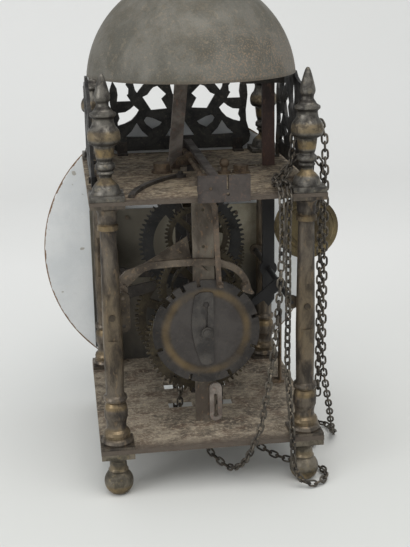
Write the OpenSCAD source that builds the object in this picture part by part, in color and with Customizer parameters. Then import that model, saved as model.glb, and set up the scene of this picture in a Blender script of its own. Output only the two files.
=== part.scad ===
// Lantern clock: four turned pillars between two iron plates, a bell on a strap,
// pierced frets, a white round dial, a going train, a striking train and their chains.
// Millimetres. +Z is up, the dial faces -Y, and the origin is on the floor in the
// middle of the clock's bounding box, chains left out.

/* [Frame] */
// Distance between the pillars, left to right
pillar_dx = 130; // [124:1:140]
// Distance between the pillars, front to back
pillar_dy = 149.5; // [146:0.5:156]
// How far the plates reach past the pillar centres
plate_edge = 11.5; // [11:0.5:13]
// Height of a foot with its square pad
foot_h = 33.3; // [28:0.1:38]
// Thickness of the base plate
base_t = 3.2; // [2:0.1:5]
// Length of a pillar between the plates
pillar_h = 168; // [165:1:176]
// Thickness of the top plate
top_t = 2.5; // [2:0.1:4]
// Height of a finial above the top plate
finial_h = 79; // [70:1:84]
// Side of the square blocks at the corners
block_w = 22.5; // [20:0.5:23]
// Diameter of a pillar at its middle
pillar_d = 13; // [11:0.2:14]

/* [Bell] */
// Outside radius of the bell
bell_r = 72.3; // [70:0.1:76]
// Thickness of the bell
bell_t = 3; // [2:0.1:4]
// Height of the bell's rim above the top plate
rim_lift = 70; // [68:0.5:76]
// Depth of the bell from rim to crown
bell_h = 66; // [60:0.5:68]
// Width of the iron strap that carries the bell
strap_w = 9; // [7:0.5:11]

/* [Dial and frets] */
// Radius of the dial
dial_r = 110; // [100:1:118]
// Thickness of the dial
dial_t = 1.8; // [1.2:0.1:2.4]
// Length of the hour hand from the centre
hand_l = 64; // [50:1:80]
// Height of the frets at their crest
fret_h = 77; // [70:1:84]
// Thickness of the frets
fret_t = 2.2; // [1.6:0.1:3]

/* [Trains] */
// Height of the great wheels above the base plate
great_lift = 52.5; // [51:0.5:55]
// Tooth module of the going great wheel
going_m = 1.25; // [1.2:0.01:1.3]
// Tooth module of the second wheel
second_m = 0.85; // [0.82:0.01:0.9]
// Tooth module of the hour wheel
hour_m = 1; // [0.96:0.01:1.04]
// Height of the escape wheel above the great wheel
escape_rise = 62; // [60:0.5:64]
// Radius of the escape wheel
escape_r = 39.6; // [38:0.1:40.5]
// Tooth module of the striking great wheel
strike_m = 1.3; // [1.26:0.01:1.34]
// Tooth module of the hoop wheel
hoop_m = 1; // [0.96:0.01:1.04]
// Tooth module of the warning wheel
warn_m = 0.95; // [0.92:0.01:1]
// Distance of the count wheel's stud from the great arbor
count_rise = 18; // [17:0.1:20]
// Radius of the count wheel
count_r = 37; // [34:0.5:38]
// Width of the movement bars
bar_w = 14.5; // [12:0.5:16]
// Radius of the arbors
arbor_r = 1.9; // [1.5:0.1:2.2]
// Radius of the pivots at the ends of the arbors
pivot_r = 1.1; // [0.8:0.05:1.3]
// Radius at which the chain runs on its pulleys
chain_run_r = 15; // [14.5:0.1:15.5]

/* [Chain] */
// Length of a chain link
link_l = 8.3; // [7.5:0.1:9]
// Width of a chain link
link_w = 5.3; // [4.8:0.1:5.6]
// Diameter of the wire of the links
wire_d = 1.3; // [1:0.05:1.3]
// Radius of the loose weight pulley
weight_r = 22; // [20:0.5:23]
// Thickness of the loose weight pulley
weight_t = 8; // [6:0.5:8.5]

/* [Hidden] */
$fn = 48;

// Radial clearance of a pivot in its hole, and the gap between pieces that only meet
fit = 0.05;
gap = 0.3;

// Heights that the pieces share
floor_z = foot_h + base_t;
deck_z = floor_z + pillar_h;
top_z = deck_z + top_t;
rim_z = top_z + rim_lift;

// Places across and in depth, from the middle of the frame
half_dx = pillar_dx / 2;
half_dy = pillar_dy / 2;
plate_hx = half_dx + plate_edge;
plate_hy = half_dy + plate_edge;
bar_t = 4;
front_bar_y = -66;
middle_bar_y = -8;
back_bar_y = 44;
front_plate_t = 1.2;
front_plate_y = -half_dy - 9.6;
dial_y = front_plate_y - 6.3;
hand_front_y = dial_y - 7.5;
hour_wheel_y = front_plate_y - 3.2;
hour_stud_y = hand_front_y + 3.4;
cock_t = 3;
cock_back_y = plate_hy + cock_t;
cock_front_y = -56;
front_fret_y = -half_dy - 8.6;
side_fret_x = half_dx + 8.6;

// The frame's middle stands at y0, so that the clock's bounding box is centred
y0 = (-hand_front_y - cock_back_y) / 2;

// Corners: the pillars' studs and the filed flats that carry the lugs
stud_r = 3.2;
flat_off = 5.2;

// Chain slots in the base plate, the middles of the two pulleys, and the bars' tenons
slot_in = 6;
slot_out = 24;
slot_hy = 7.5;
going_pulley_y = -22;
strike_pulley_y = 13.5;
pulley_gap = 7;
cock_rivet_r = 1.2;
cheek_t = 1.4;
tenon_w = 8;
half_pivot = bar_t / 2 + gap / 2;

// Teeth and leaves of the two trains
going_n = 68;
second_pinion_n = 8;
second_n = 56;
escape_pinion_n = 7;
escape_n = 64;
hour_n = 72;
report_n = 6;
strike_n = 60;
hoop_pinion_n = 6;
hoop_n = 60;
warn_pinion_n = 6;
warn_n = 48;
fly_pinion_n = 6;
count_n = 39;
count_pinion_n = 5;

// The trains shrink together where the pillars leave them less room than they need
fly_half = 12;
going_up = escape_rise + escape_r;
strike_up = strike_m * (strike_n + hoop_pinion_n) / 2 + hoop_m * (hoop_n + warn_pinion_n) / 2
  + warn_m * (warn_n + fly_pinion_n) / 2 + fly_half;
squeeze = min(1, (pillar_h - gap) / (great_lift + max(going_up, strike_up)));
going_mod = going_m * squeeze;
second_mod = second_m * squeeze;
hour_mod = hour_m * squeeze;
strike_mod = strike_m * squeeze;
hoop_mod = hoop_m * squeeze;
warn_mod = warn_m * squeeze;
great_rise = great_lift * squeeze;
crown_r = escape_r * squeeze;
stud_rise = count_rise * squeeze;
count_wheel_r = count_r * squeeze;

// The escape wheel stands clear above the foot of the cock, which is clear of the chain below it
cock_foot_t = 2.6;
cock_foot_up = chain_run_r + 4;
crown_rise = max(escape_rise * squeeze, crown_r + cock_foot_up + cock_foot_t + gap);

// Heights of the arbors, from the distances at which their wheels mesh
great_z = floor_z + great_rise;
cock_foot_z = great_z + cock_foot_up;
escape_z = great_z + crown_rise;
hoop_z = great_z + strike_mod * (strike_n + hoop_pinion_n) / 2;
warn_z = hoop_z + hoop_mod * (hoop_n + warn_pinion_n) / 2;
fly_z = warn_z + warn_mod * (warn_n + fly_pinion_n) / 2;
count_z = great_z + stud_rise;
count_m = stud_rise * 2 / (count_n + count_pinion_n);
dial_z = great_z + hour_mod * (hour_n + report_n) / 2;

// The second arbor stands beside the line, where its two meshes reach
d_great = going_mod * (going_n + second_pinion_n) / 2;
d_escape = second_mod * (second_n + escape_pinion_n) / 2;
second_up = (d_great * d_great - d_escape * d_escape + crown_rise * crown_rise) / (2 * crown_rise);
second_x = -sqrt(d_great * d_great - second_up * second_up);
second_z = great_z + second_up;
great_to_second = atan2(second_up, second_x);
second_to_escape = atan2(escape_z - second_z, -second_x);

// Places of the wheels in depth, from front to back
wheel_t = 2.4;
second_y = -44;
going_y = -34;
cock_y = -26.6;
escape_y = -19.2;
fly_y = 24;
warn_y = 18;
strike_y = 21;
hoop_y = 31;
count_gear_y = 51;
count_plate_y = 55;

// Pipe of the hour wheel, stud of the count wheel, and the dial's feet
pipe_r = 3.6;
stud_hole_r = 2.5;
dial_foot_r = 62;
dial_foot_z = 40;

// The escapement: its arbor, the angle from the top to a pallet, and the clearance
// that leaves the swing free of the teeth
pallet_z = top_z + 6.5;
pallet_span = 6.5 * 360 / escape_n;
pallet_turn = 2;
pallet_clear = 1.7;
anchor_y = -20;
anchor_t = 4;
// Tip of a pallet from the anchor's arbor, and half the slot that the arms pass through
nib = (crown_r + pallet_clear) * [sin(pallet_span), cos(pallet_span)] + [0, escape_z - pallet_z];
arm_share = min(1, (pallet_z - deck_z - 6) / (-nib[1] - 18));
anchor_slot = 17.9 + (nib[0] - 11) * arm_share;
crutch_y = 59;
crutch_t = 2;

// Notches of the count wheel: degrees for one stroke, and the notch under the detent
stroke_turn = 360 / 78;
detent_notch = 132.6;
notch_start = detent_notch - 21 * stroke_turn;
notch_w = 2.6;
notch_d = 4.6;
detent_clear = 0.5;

// Lugs on the pillars and the three arbors that they carry
lug_t = 3.2;
lug_y = half_dy - flat_off - fit - lug_t;
lug_z = floor_z + 92;
lug_x = half_dx - 8;
detent_z = lug_z + 9.5;
lift_z = lug_z - 9.5;
lever_pivot_r = pivot_r + 0.1;
lug_stub_r = 2.15;

// The hammer
hammer_x = -lug_x;
stem_w = 9;
stem_y = -16.5;
stem_t = 3;
head_z = rim_z - 10.5;
hammer_turn = 6;

// The bell's strap on the top plate
strap_x = 10;
strap_y = -33;

// Distance from link to link: the inside length of a link less its play
link_play = 0.5;
link_pitch = link_l - 2 * wire_d - link_play;

// The loose weight pulley: where it hangs, its pin, and the ring of its hook
weight_at = [-75, 31, top_z - 36];
weight_pin_r = 1.55;
hook_ring_r = 3.2;

// Sideways stretch of the frets, which stand between finials of unlike distances
side_stretch = (pillar_dy - block_w) / 127 * 1.05;
front_stretch = (pillar_dx - block_w) / 107.5 * 0.985;

module at(x, y, z) {
  translate([x, y0 + y, z]) children();
}

// A flat shape drawn in X and Z, as thick as the space between two depths
module slab(y1, y2) {
  translate([0, y0 + y2, 0]) rotate([90, 0, 0]) linear_extrude(y2 - y1) children();
}

// A round bar that lies along Y
module rod(r, y1, y2, x, z) {
  at(x, y1, z) rotate([-90, 0, 0]) cylinder(r = r, h = y2 - y1);
}

// A block given by its corners, in depth from the middle of the frame
module block(x1, x2, y1, y2, z1, z2) {
  at(x1, y1, z1) cube([x2 - x1, y2 - y1, z2 - z1]);
}

function polar(r, a) = [r * cos(a), r * sin(a)];

// Outline of a strip that follows a line of points, w0 wide at its start and w1 at its end
function across(p, i) = let (d = p[min(i + 1, len(p) - 1)] - p[max(i - 1, 0)]) [-d[1], d[0]] / norm(d);
function band(p, w0, w1) = let (n = len(p) - 1) [
  for (i = [0:n]) p[i] + across(p, i) * (w0 + (w1 - w0) * i / n) / 2,
  for (i = [n:-1:0]) p[i] - across(p, i) * (w0 + (w1 - w0) * i / n) / 2
];

// Turned pieces

module foot(sx, sy) {
  ball_r = 10;
  rest_r = 4;
  ball_z = sqrt(ball_r * ball_r - rest_r * rest_r);
  neck_z = ball_z + 7.4;
  pad_t = 3.9;
  pad_z = foot_h - pad_t;
  color("#6b5a3c") at(sx * half_dx, sy * half_dy, 0) difference() {
    union() {
      rotate_extrude() intersection() {
        union() {
          translate([0, ball_z]) circle(r = ball_r);
          polygon([[0, neck_z], [6.5, neck_z], [6.9, neck_z + 1.4], [6, neck_z + 3], [5.7, pad_z - 4.6],
            [8.6, pad_z - 2.4], [9.5, pad_z - 1], [9.5, pad_z + 0.1], [0, pad_z + 0.1]]);
        }
        square([20, foot_h]);
      }
      translate([-block_w / 2, -block_w / 2, pad_z]) cube([block_w, block_w, pad_t]);
    }
    translate([0, 0, pad_z - 4]) cylinder(r = stud_r + fit, h = 20);
  }
}

module pillar(sx, sy) {
  r = pillar_d / 2;
  ring_z = pillar_h - 16;
  lug_h = lug_z - floor_z;
  color("#6e5f43") at(sx * half_dx, sy * half_dy, floor_z) difference() {
    union() {
      translate([-block_w / 2, -block_w / 2, 0]) cube([block_w, block_w, 1.9]);
      translate([-block_w / 2, -block_w / 2, pillar_h - 2.2]) cube([block_w, block_w, 2.2]);
      rotate_extrude() polygon([
        [0, 1.9], [10.5, 1.9], [10.8, 3.2], [10.2, 5], [8.8, 6], [9.2, 8.5], [8.6, 10.5],
        [7, 12], [6.6, 15], [7, 18], [7.9, 20.5], [8, 25], [7.4, 29], [6.3, 31], [7.6, 32.5],
        [8.1, 34], [7.6, 35.8], [r - 0.4, 36.8], [r, 75], [r - 0.5, 110], [r - 1.2, ring_z - 3],
        [r - 1.2, ring_z - 2.4], [6.9, ring_z - 1.6], [6.9, ring_z + 1.6], [5.6, ring_z + 2.6],
        [6.4, ring_z + 5], [6.3, ring_z + 9], [7.4, ring_z + 12], [9.5, pillar_h - 2.2],
        [0, pillar_h - 2.2]
      ]);
      translate([0, 0, -base_t - 5]) cylinder(r = stud_r, h = base_t + 8);
      translate([0, 0, pillar_h - 3]) cylinder(r = stud_r, h = 3 + top_t + 5);
    }
    // filed flats and the hole for the riveted lug
    for (side = [-1, 1])
      translate([-10, side > 0 ? flat_off : -flat_off - 10, lug_h - 16]) cube([20, 10, 32]);
    translate([0, -15, lug_h]) rotate([-90, 0, 0]) cylinder(r = lug_stub_r + fit, h = 30);
  }
}

module finial(sx, sy) {
  color("#8a7443") at(sx * half_dx, sy * half_dy, top_z) difference() {
    union() {
      translate([-block_w / 2, -block_w / 2, 0]) cube([block_w, block_w, 3.7]);
      rotate_extrude() polygon([
        [0, 3.7], [9.8, 3.7], [9.4, 5.4], [7.4, 7.6], [6, 10.5], [5.5, 14], [5.8, 16.6],
        [6.9, 17.4], [6.9, 19.8], [5.9, 20.6], [6.7, 21.6], [6.7, 24], [5.2, 25], [5.6, 27],
        [6.4, 30], [6.3, 32.5], [4.9, 34.5], [6.6, 36], [9, 38.4], [10, 41.5], [9.6, 45],
        [8, 49.5], [6.6, 52.6], [8.1, 54], [8.3, 55.6], [8, 57.2], [4.6, 58.6], [3.9, 60],
        [4.4, 62.5], [4.3, 64.5], [3, 68], [1.9, finial_h - 6], [1, finial_h - 1.4], [0, finial_h]
      ]);
    }
    translate([0, 0, -1]) cylinder(r = stud_r + fit, h = 7.5);
  }
}

// Plates

module corner_holes(t) {
  for (sx = [-1, 1], sy = [-1, 1])
    at(sx * half_dx, sy * half_dy, -1) cylinder(r = stud_r + fit, h = t + 2);
}

module base_plate() {
  color("#7b6a52") translate([0, 0, foot_h]) difference() {
    block(-plate_hx, plate_hx, -plate_hy, plate_hy, 0, base_t);
    corner_holes(base_t);
    for (s = [-1, 1], y = [going_pulley_y, strike_pulley_y])
      block(s > 0 ? slot_in : -slot_out, s > 0 ? slot_out : -slot_in, y - slot_hy, y + slot_hy, -1,
        base_t + 1);
    for (y = [front_bar_y, middle_bar_y, back_bar_y])
      block(-tenon_w / 2, tenon_w / 2, y, y + bar_t, -1, base_t + 1);
  }
}

module top_plate() {
  swing = (head_z - lug_z) * sin(hammer_turn) / 2;
  color("#7d6c4f") translate([0, 0, deck_z]) difference() {
    block(-plate_hx, plate_hx, -plate_hy, plate_hy, 0, top_t);
    corner_holes(top_t);
    for (y = [front_bar_y, middle_bar_y, back_bar_y])
      block(-tenon_w / 2, tenon_w / 2, y, y + bar_t, -1, top_t + 1);
    block(hammer_x - stem_w / 2 - 1.5, hammer_x + stem_w / 2 + swing + 4, stem_y - 1.2,
      stem_y + stem_t + 1.2, -1, top_t + 1);
    block(-anchor_slot, anchor_slot, anchor_y - 1.5, anchor_y + anchor_t + 1.5, -1, top_t + 1);
    block(-9, 3, crutch_y - 1.5, crutch_y + crutch_t + 1.5, -1, top_t + 1);
    at(strap_x, strap_y - 8, -1) cylinder(r = 2.1, h = top_t + 2);
  }
}

module front_plate() {
  top = 163;
  color("#8d8069") difference() {
    block(-half_dx - 8, half_dx + 8, front_plate_y, front_plate_y + front_plate_t, floor_z + gap, top);
    // corners cut away about the pillars' feet
    for (s = [-1, 1])
      block(s * half_dx - 12, s * half_dx + 12, front_plate_y - 1, front_plate_y + 5,
        floor_z, floor_z + 12.5);
    rod(arbor_r + 1.2, front_plate_y - 1, front_plate_y + 5, 0, great_z);
    rod(pipe_r + 1, front_plate_y - 1, front_plate_y + 5, 0, dial_z);
    for (a = [45:90:315])
      rod(1.5 + fit, front_plate_y - 1, front_plate_y + 5,
        dial_foot_r * cos(a), dial_z + dial_foot_z * sin(a));
  }
}

// Dial, hand and motion work

module dial() {
  color("#e9edf0") difference() {
    union() {
      rod(dial_r, dial_y, dial_y + dial_t * 0.6, 0, dial_z);
      rod(dial_r - 1.2, dial_y + dial_t * 0.6 - 0.01, dial_y + dial_t, 0, dial_z);
      for (a = [45:90:315]) {
        x = dial_foot_r * cos(a);
        z = dial_z + dial_foot_z * sin(a);
        rod(2.6, dial_y + 1, front_plate_y - 0.02, x, z);
        rod(1.5, dial_y + 1, front_plate_y + front_plate_t + 2, x, z);
      }
    }
    rod(pipe_r + 1, dial_y - 1, dial_y + 5, 0, dial_z);
  }
}

module hour_hand() {
  y1 = hand_front_y + 2.6;
  color("#2a2a2c") {
    slab(y1, y1 + 1.4) difference() {
      union() {
        translate([0, dial_z]) circle(r = 7);
        translate([-1.6, dial_z]) square([3.2, hand_l - 10]);
        translate([0, dial_z + hand_l * 0.52]) difference() {
          circle(r = 8);
          circle(r = 4.6);
        }
        polygon([[-5, dial_z + hand_l - 15], [0, dial_z + hand_l], [5, dial_z + hand_l - 15],
          [0, dial_z + hand_l - 19]]);
        polygon([[-2.2, dial_z], [-3.4, dial_z - 20], [3.4, dial_z - 20], [2.2, dial_z]]);
      }
      translate([0, dial_z]) circle(r = 2.4);
    }
    difference() {
      rod(4.4, hand_front_y, y1 + 0.2, 0, dial_z);
      rod(2.4, hand_front_y - 1, y1 + 1, 0, dial_z);
    }
  }
}

// Wheels

// Outline of a toothed wheel of n teeth, with a tooth standing at angle 0
function wheel_outline(n, m) = let (rp = n * m / 2, h = 180 / n) [
  for (i = [0:n - 1]) let (a = 2 * h * i) each [
    polar(rp - 1.3 * m, a - 0.5 * h), polar(rp, a - 0.43 * h), polar(rp + 0.5 * m, a - 0.32 * h),
    polar(rp + 0.95 * m, a - 0.1 * h), polar(rp + 0.95 * m, a + 0.1 * h),
    polar(rp + 0.5 * m, a + 0.32 * h), polar(rp, a + 0.43 * h), polar(rp - 1.3 * m, a + 0.5 * h)
  ]
];

// Outline of a pinion of n leaves, with a leaf standing at angle 0
function pinion_outline(n, m) = let (rp = n * m / 2, h = 180 / n) [
  for (i = [0:n - 1]) let (a = 2 * h * i) each [
    polar(rp - 1.35 * m, a - 0.36 * h), polar(rp, a - 0.36 * h), polar(rp + 0.35 * m, a - 0.26 * h),
    polar(rp + 0.55 * m, a), polar(rp + 0.35 * m, a + 0.26 * h), polar(rp, a + 0.36 * h),
    polar(rp - 1.35 * m, a + 0.36 * h)
  ]
];

// A crossed-out wheel: teeth, rim, four arms and a hub bored for its arbor
module crossed_wheel(n, m, rim, hub, arm, bore, turn, mesh) {
  rp = n * m / 2;
  difference() {
    rotate(mesh) polygon(wheel_outline(n, m));
    difference() {
      circle(r = rp - 1.3 * m - rim, $fn = 96);
      circle(r = hub);
      for (k = [0:3]) rotate(turn + 90 * k) translate([0, -arm / 2]) square([rp, arm]);
    }
    circle(r = bore);
  }
}

// An arbor with a thinner pivot at both ends
module arbor(r, y1, y2, end1, end2, x, z) {
  rod(r, y1, y2, x, z);
  rod(pivot_r, y1 - end1, y2 + end2, x, z);
}

module going_great_wheel() {
  color("#5b4c33") {
    slab(going_y, going_y + wheel_t) translate([0, great_z])
      crossed_wheel(going_n, going_mod, 6, 9, 6.5, 0.1, 20, great_to_second);
    arbor(arbor_r, front_bar_y + bar_t + gap, middle_bar_y - gap, bar_t + gap, half_pivot, 0, great_z);
    rod(pivot_r, hour_wheel_y - 1, front_bar_y + 1, 0, great_z);
    slab(hour_wheel_y - 0.2, hour_wheel_y + 2.2) translate([0, great_z])
      rotate(90 + 180 / report_n) polygon(pinion_outline(report_n, hour_mod));
  }
}

module hour_wheel() {
  color("#75603a") difference() {
    union() {
      slab(hour_wheel_y, hour_wheel_y + 2) translate([0, dial_z])
        crossed_wheel(hour_n, hour_mod, 5, 8, 6, 0.1, 45, -90);
      rod(pipe_r, hour_wheel_y, front_plate_y + 6, 0, dial_z);
      rod(pipe_r, dial_y - 2.4, hour_wheel_y + 1, 0, dial_z);
      rod(2.4 - fit, hand_front_y + 0.6, dial_y, 0, dial_z);
    }
    rod(1.6 + fit, hour_stud_y - gap, front_plate_y + 10, 0, dial_z);
  }
}

// A grooved chain pulley with two cheeks, drawn at its middle plane
module grooved_pulley(y, z, r_bore) {
  groove_r = chain_run_r - link_w / 2 - 0.6;
  cheek_r = chain_run_r + 3;
  difference() {
    union() {
      rod(groove_r, y - pulley_gap / 2 - 0.01, y + pulley_gap / 2 + 0.01, 0, z);
      rod(cheek_r, y - pulley_gap / 2 - 1.4, y - pulley_gap / 2, 0, z);
      rod(cheek_r, y + pulley_gap / 2, y + pulley_gap / 2 + 1.4, 0, z);
    }
    rod(r_bore, y - 10, y + 10, 0, z);
  }
}

module going_pulley() {
  color("#6a5a3a") grooved_pulley(going_pulley_y, great_z, arbor_r + 0.02);
}

module strike_pulley() {
  color("#6a5a3a") grooved_pulley(strike_pulley_y, great_z, arbor_r + 0.02);
}

module second_wheel() {
  color("#6b5836") {
    slab(second_y, second_y + 1.8) translate([second_x, second_z])
      crossed_wheel(second_n, second_mod, 3.5, 6, 3.5, 0.1, 10, second_to_escape);
    slab(going_y - 0.8, going_y + wheel_t + 0.8) translate([second_x, second_z])
      rotate(great_to_second + 180 + 180 / second_pinion_n)
        polygon(pinion_outline(second_pinion_n, going_mod));
    arbor(arbor_r, front_bar_y + bar_t + gap, cock_y - gap, 2, 2, second_x, second_z);
  }
}

// The cock that carries the second arbor's back pivot, riveted to the middle bar
module second_wheel_cock() {
  color("#4f4a42") difference() {
    union() {
      block(-4, 4, cock_y, middle_bar_y - 0.02, cock_foot_z, cock_foot_z + cock_foot_t);
      slab(cock_y, cock_y + 2) {
        polygon([[-4, cock_foot_z], [4, cock_foot_z], [4, cock_foot_z + 3.4], [second_x + 5, second_z + 2],
          [second_x - 5, second_z + 2], [second_x - 5, second_z - 2]]);
        translate([second_x, second_z]) circle(r = 5);
      }
      rod(cock_rivet_r, middle_bar_y - 1, middle_bar_y + bar_t, 0, cock_foot_z + cock_foot_t / 2);
    }
    rod(pivot_r + fit, cock_y - 1, cock_y + 3, second_x, second_z);
  }
}

// Outline of the escape wheel's teeth, raked a little to one side
function escape_outline() = let (h = 180 / escape_n) [
  for (i = [0:escape_n - 1]) let (a = 2 * h * i + 90) each [
    polar(crown_r - 2.9, a - 0.55 * h), polar(crown_r - 0.4, a - 0.2 * h),
    polar(crown_r, a), polar(crown_r, a + 0.2 * h), polar(crown_r - 2.9, a + 0.5 * h)
  ]
];

module escape_wheel() {
  color("#3b3a3c") {
    slab(escape_y, escape_y + 2) translate([0, escape_z]) difference() {
      polygon(escape_outline());
      difference() {
        circle(r = crown_r - 11, $fn = 96);
        circle(r = 9);
        for (k = [0:3]) rotate(55 + 90 * k) translate([0, -3]) square([crown_r, 6]);
      }
    }
    slab(second_y - 0.8, second_y + 2.6) translate([0, escape_z])
      rotate(second_to_escape + 180 + 180 / escape_pinion_n)
        polygon(pinion_outline(escape_pinion_n, second_mod));
    arbor(arbor_r * 0.8, front_bar_y + bar_t + gap, middle_bar_y - gap, bar_t + gap, bar_t + gap, 0,
      escape_z);
  }
}

// Escapement

module anchor() {
  color("#4a4744") {
    slab(anchor_y, anchor_y + anchor_t) translate([0, pallet_z]) difference() {
      union() {
        circle(r = 5);
        for (s = [-1, 1])
          polygon([[0, 4], [s * 9, 1], [s * 15, -6], [s * (nib[0] + 4), nib[1] + 12],
            [s * (nib[0] + 3.4), nib[1] + 4], [s * (nib[0] + 0.6), nib[1]], [s * (nib[0] - 0.5), nib[1]],
            [s * (nib[0] - 0.6), nib[1] + 8], [s * 11, -10], [s * 6, -4], [0, -4]]);
      }
      circle(r = arbor_r);
    }
    rod(arbor_r, cock_front_y + 3 + gap, plate_hy - gap, 0, pallet_z);
    rod(pivot_r, cock_front_y + 1, cock_back_y - 0.6, 0, pallet_z);
  }
}

module crutch() {
  tip_z = 141;
  color("#77706a") {
    slab(crutch_y, crutch_y + crutch_t) difference() {
      union() {
        translate([0, pallet_z]) circle(r = 4.4);
        polygon([[-2.4, pallet_z - 2], [2.4, pallet_z - 2], [-4.6, deck_z - 10], [-6.9, tip_z],
          [-10.4, tip_z], [-8.4, deck_z - 10]]);
        polygon([[-6.9, tip_z + 2], [-6.9, tip_z - 2], [-11.6, tip_z - 2], [-11.6, tip_z + 1],
          [-10.4, tip_z + 2]]);
      }
      translate([0, pallet_z]) circle(r = arbor_r + 0.02);
    }
    rod(1.1, crutch_y + 0.2, crutch_y + 9, -8.7, tip_z + 1);
  }
}

module back_cock() {
  top = top_z + 14.5;
  color("#5c5650") difference() {
    union() {
      block(-25.5, 8, plate_hy, cock_back_y, deck_z, top);
      rod(6.2, plate_hy, cock_back_y, 2.2, pallet_z - 0.5);
      block(-5.7, -0.2, cock_front_y, cock_back_y, top - 2.4, top);
      block(-5.7, 4, cock_front_y, cock_front_y + 3, top_z, top);
      block(-5.7, 4, cock_front_y - 5.6, cock_front_y + 0.1, top_z, top_z + 2);
    }
    rod(pivot_r + fit, cock_front_y - 1, cock_front_y + 4, 0, pallet_z);
    rod(pivot_r + fit, plate_hy - 1, cock_back_y + 1, 0, pallet_z);
    block(-11.6, -10.2, plate_hy - 1, cock_back_y + 1, top - 9, top + 1);
    rod(1.2, plate_hy - 1, cock_back_y + 1, -11, top - 12);
  }
}

// Striking train

module strike_great_wheel() {
  pin_r = strike_mod * strike_n / 2 - 5;
  color("#6f5a38") {
    slab(strike_y, strike_y + wheel_t) translate([0, great_z])
      crossed_wheel(strike_n, strike_mod, 5.5, 9, 6.5, 0.1, 45, 90);
    for (k = [0:9]) rod(1, strike_y + wheel_t - 0.5, strike_y + wheel_t + 3.4,
      pin_r * cos(36 * k + 18), great_z + pin_r * sin(36 * k + 18));
    arbor(arbor_r, middle_bar_y + bar_t + gap, back_bar_y - gap, half_pivot, bar_t + gap, 0, great_z);
    rod(pivot_r, back_bar_y, count_gear_y + 2.3, 0, great_z);
    slab(count_gear_y - 0.4, count_gear_y + 2.3) translate([0, great_z])
      rotate(90) polygon(pinion_outline(count_pinion_n, count_m));
  }
}

module hoop_wheel() {
  color("#6b5836") {
    slab(hoop_y, hoop_y + 2) translate([0, hoop_z])
      crossed_wheel(hoop_n, hoop_mod, 4, 7, 5, 0.1, 45, 90);
    difference() {
      rod(21.5, hoop_y + 1.9, hoop_y + 6, 0, hoop_z);
      rod(19.7, hoop_y + 1, hoop_y + 7, 0, hoop_z);
      block(0, 30, hoop_y + 2.01, hoop_y + 7, hoop_z, hoop_z + 6);
    }
    slab(strike_y - 0.8, strike_y + wheel_t + 0.8) translate([0, hoop_z])
      rotate(-90 + 180 / hoop_pinion_n) polygon(pinion_outline(hoop_pinion_n, strike_mod));
    arbor(arbor_r, middle_bar_y + bar_t + gap, back_bar_y - gap, bar_t + gap, bar_t + gap, 0, hoop_z);
  }
}

module warning_wheel() {
  color("#6b5836") {
    slab(warn_y, warn_y + 1.8) translate([0, warn_z])
      crossed_wheel(warn_n, warn_mod, 3.5, 6, 4, 0.1, 45, 90);
    rod(0.9, warn_y - 4, warn_y + 0.2, warn_n * warn_mod / 2 - 3, warn_z);
    slab(hoop_y - 0.8, hoop_y + 2.8) translate([0, warn_z])
      rotate(-90 + 180 / warn_pinion_n) polygon(pinion_outline(warn_pinion_n, hoop_mod));
    arbor(arbor_r * 0.8, middle_bar_y + bar_t + gap, back_bar_y - gap, bar_t + gap, bar_t + gap, 0,
      warn_z);
  }
}

module fly() {
  color("#8a7a55") {
    slab(warn_y - 0.8, warn_y + 2.6) translate([0, fly_z])
      rotate(-90 + 180 / fly_pinion_n) polygon(pinion_outline(fly_pinion_n, warn_mod));
    arbor(arbor_r * 0.7, middle_bar_y + bar_t + gap, back_bar_y - gap, bar_t + gap, bar_t + gap, 0,
      fly_z);
    block(-fly_half, fly_half, 24, 40, fly_z - 0.5, fly_z + 0.5);
  }
}

// Count wheel

// The hours whose strokes lie before the k-th notch
function struck(k) = k * (k + 1) / 2;

module count_wheel() {
  color("#6d675f") {
    slab(count_plate_y, count_plate_y + 2) translate([0, count_z]) difference() {
      circle(r = count_wheel_r, $fn = 128);
      for (k = [0:11]) rotate(notch_start + stroke_turn * struck(k))
        translate([count_wheel_r - notch_d, -notch_w / 2]) square([8, notch_w]);
      // the two notches about one o'clock stand a single stroke apart and run together
      rotate(notch_start + stroke_turn / 2)
        translate([count_wheel_r - notch_d, -notch_w / 2]) square([8, notch_w]);
      circle(r = stud_hole_r + fit);
    }
    slab(count_gear_y, count_gear_y + 2) translate([0, count_z])
      crossed_wheel(count_n, count_m, 3, 6, 4, stud_hole_r + fit, 45, -90 + 180 / count_n);
    difference() {
      rod(5.4, count_gear_y + 1.9, count_plate_y + 0.1, 0, count_z);
      rod(stud_hole_r + fit, count_gear_y, count_plate_y + 1, 0, count_z);
    }
  }
}

module count_wheel_stud() {
  color("#8a8378") {
    rod(stud_hole_r, back_bar_y, count_plate_y + 6.4, 0, count_z);
    rod(3.6, back_bar_y + bar_t, count_gear_y - gap, 0, count_z);
    difference() {
      rod(3.9, count_plate_y + 3.4, count_plate_y + 5.4, 0, count_z);
      rod(1, count_plate_y + 3, count_plate_y + 6, 0, count_z + 9);
    }
  }
}

// The leaf-shaped spring that presses on the count wheel
module count_wheel_spring() {
  leaf_r = 49;
  leaf_w = 7.3;
  color("#8b857b") slab(count_plate_y + 2 + gap, count_plate_y + 3.2) translate([0, count_z])
    difference() {
      intersection() {
        translate([leaf_r - leaf_w, 0]) circle(r = leaf_r, $fn = 96);
        translate([leaf_w - leaf_r, 0]) circle(r = leaf_r, $fn = 96);
      }
      circle(r = stud_hole_r + fit);
      translate([0, 16]) circle(r = 1.9);
      translate([-0.5, 4]) square([1, 12]);
    }
}

// Movement bars

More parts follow.
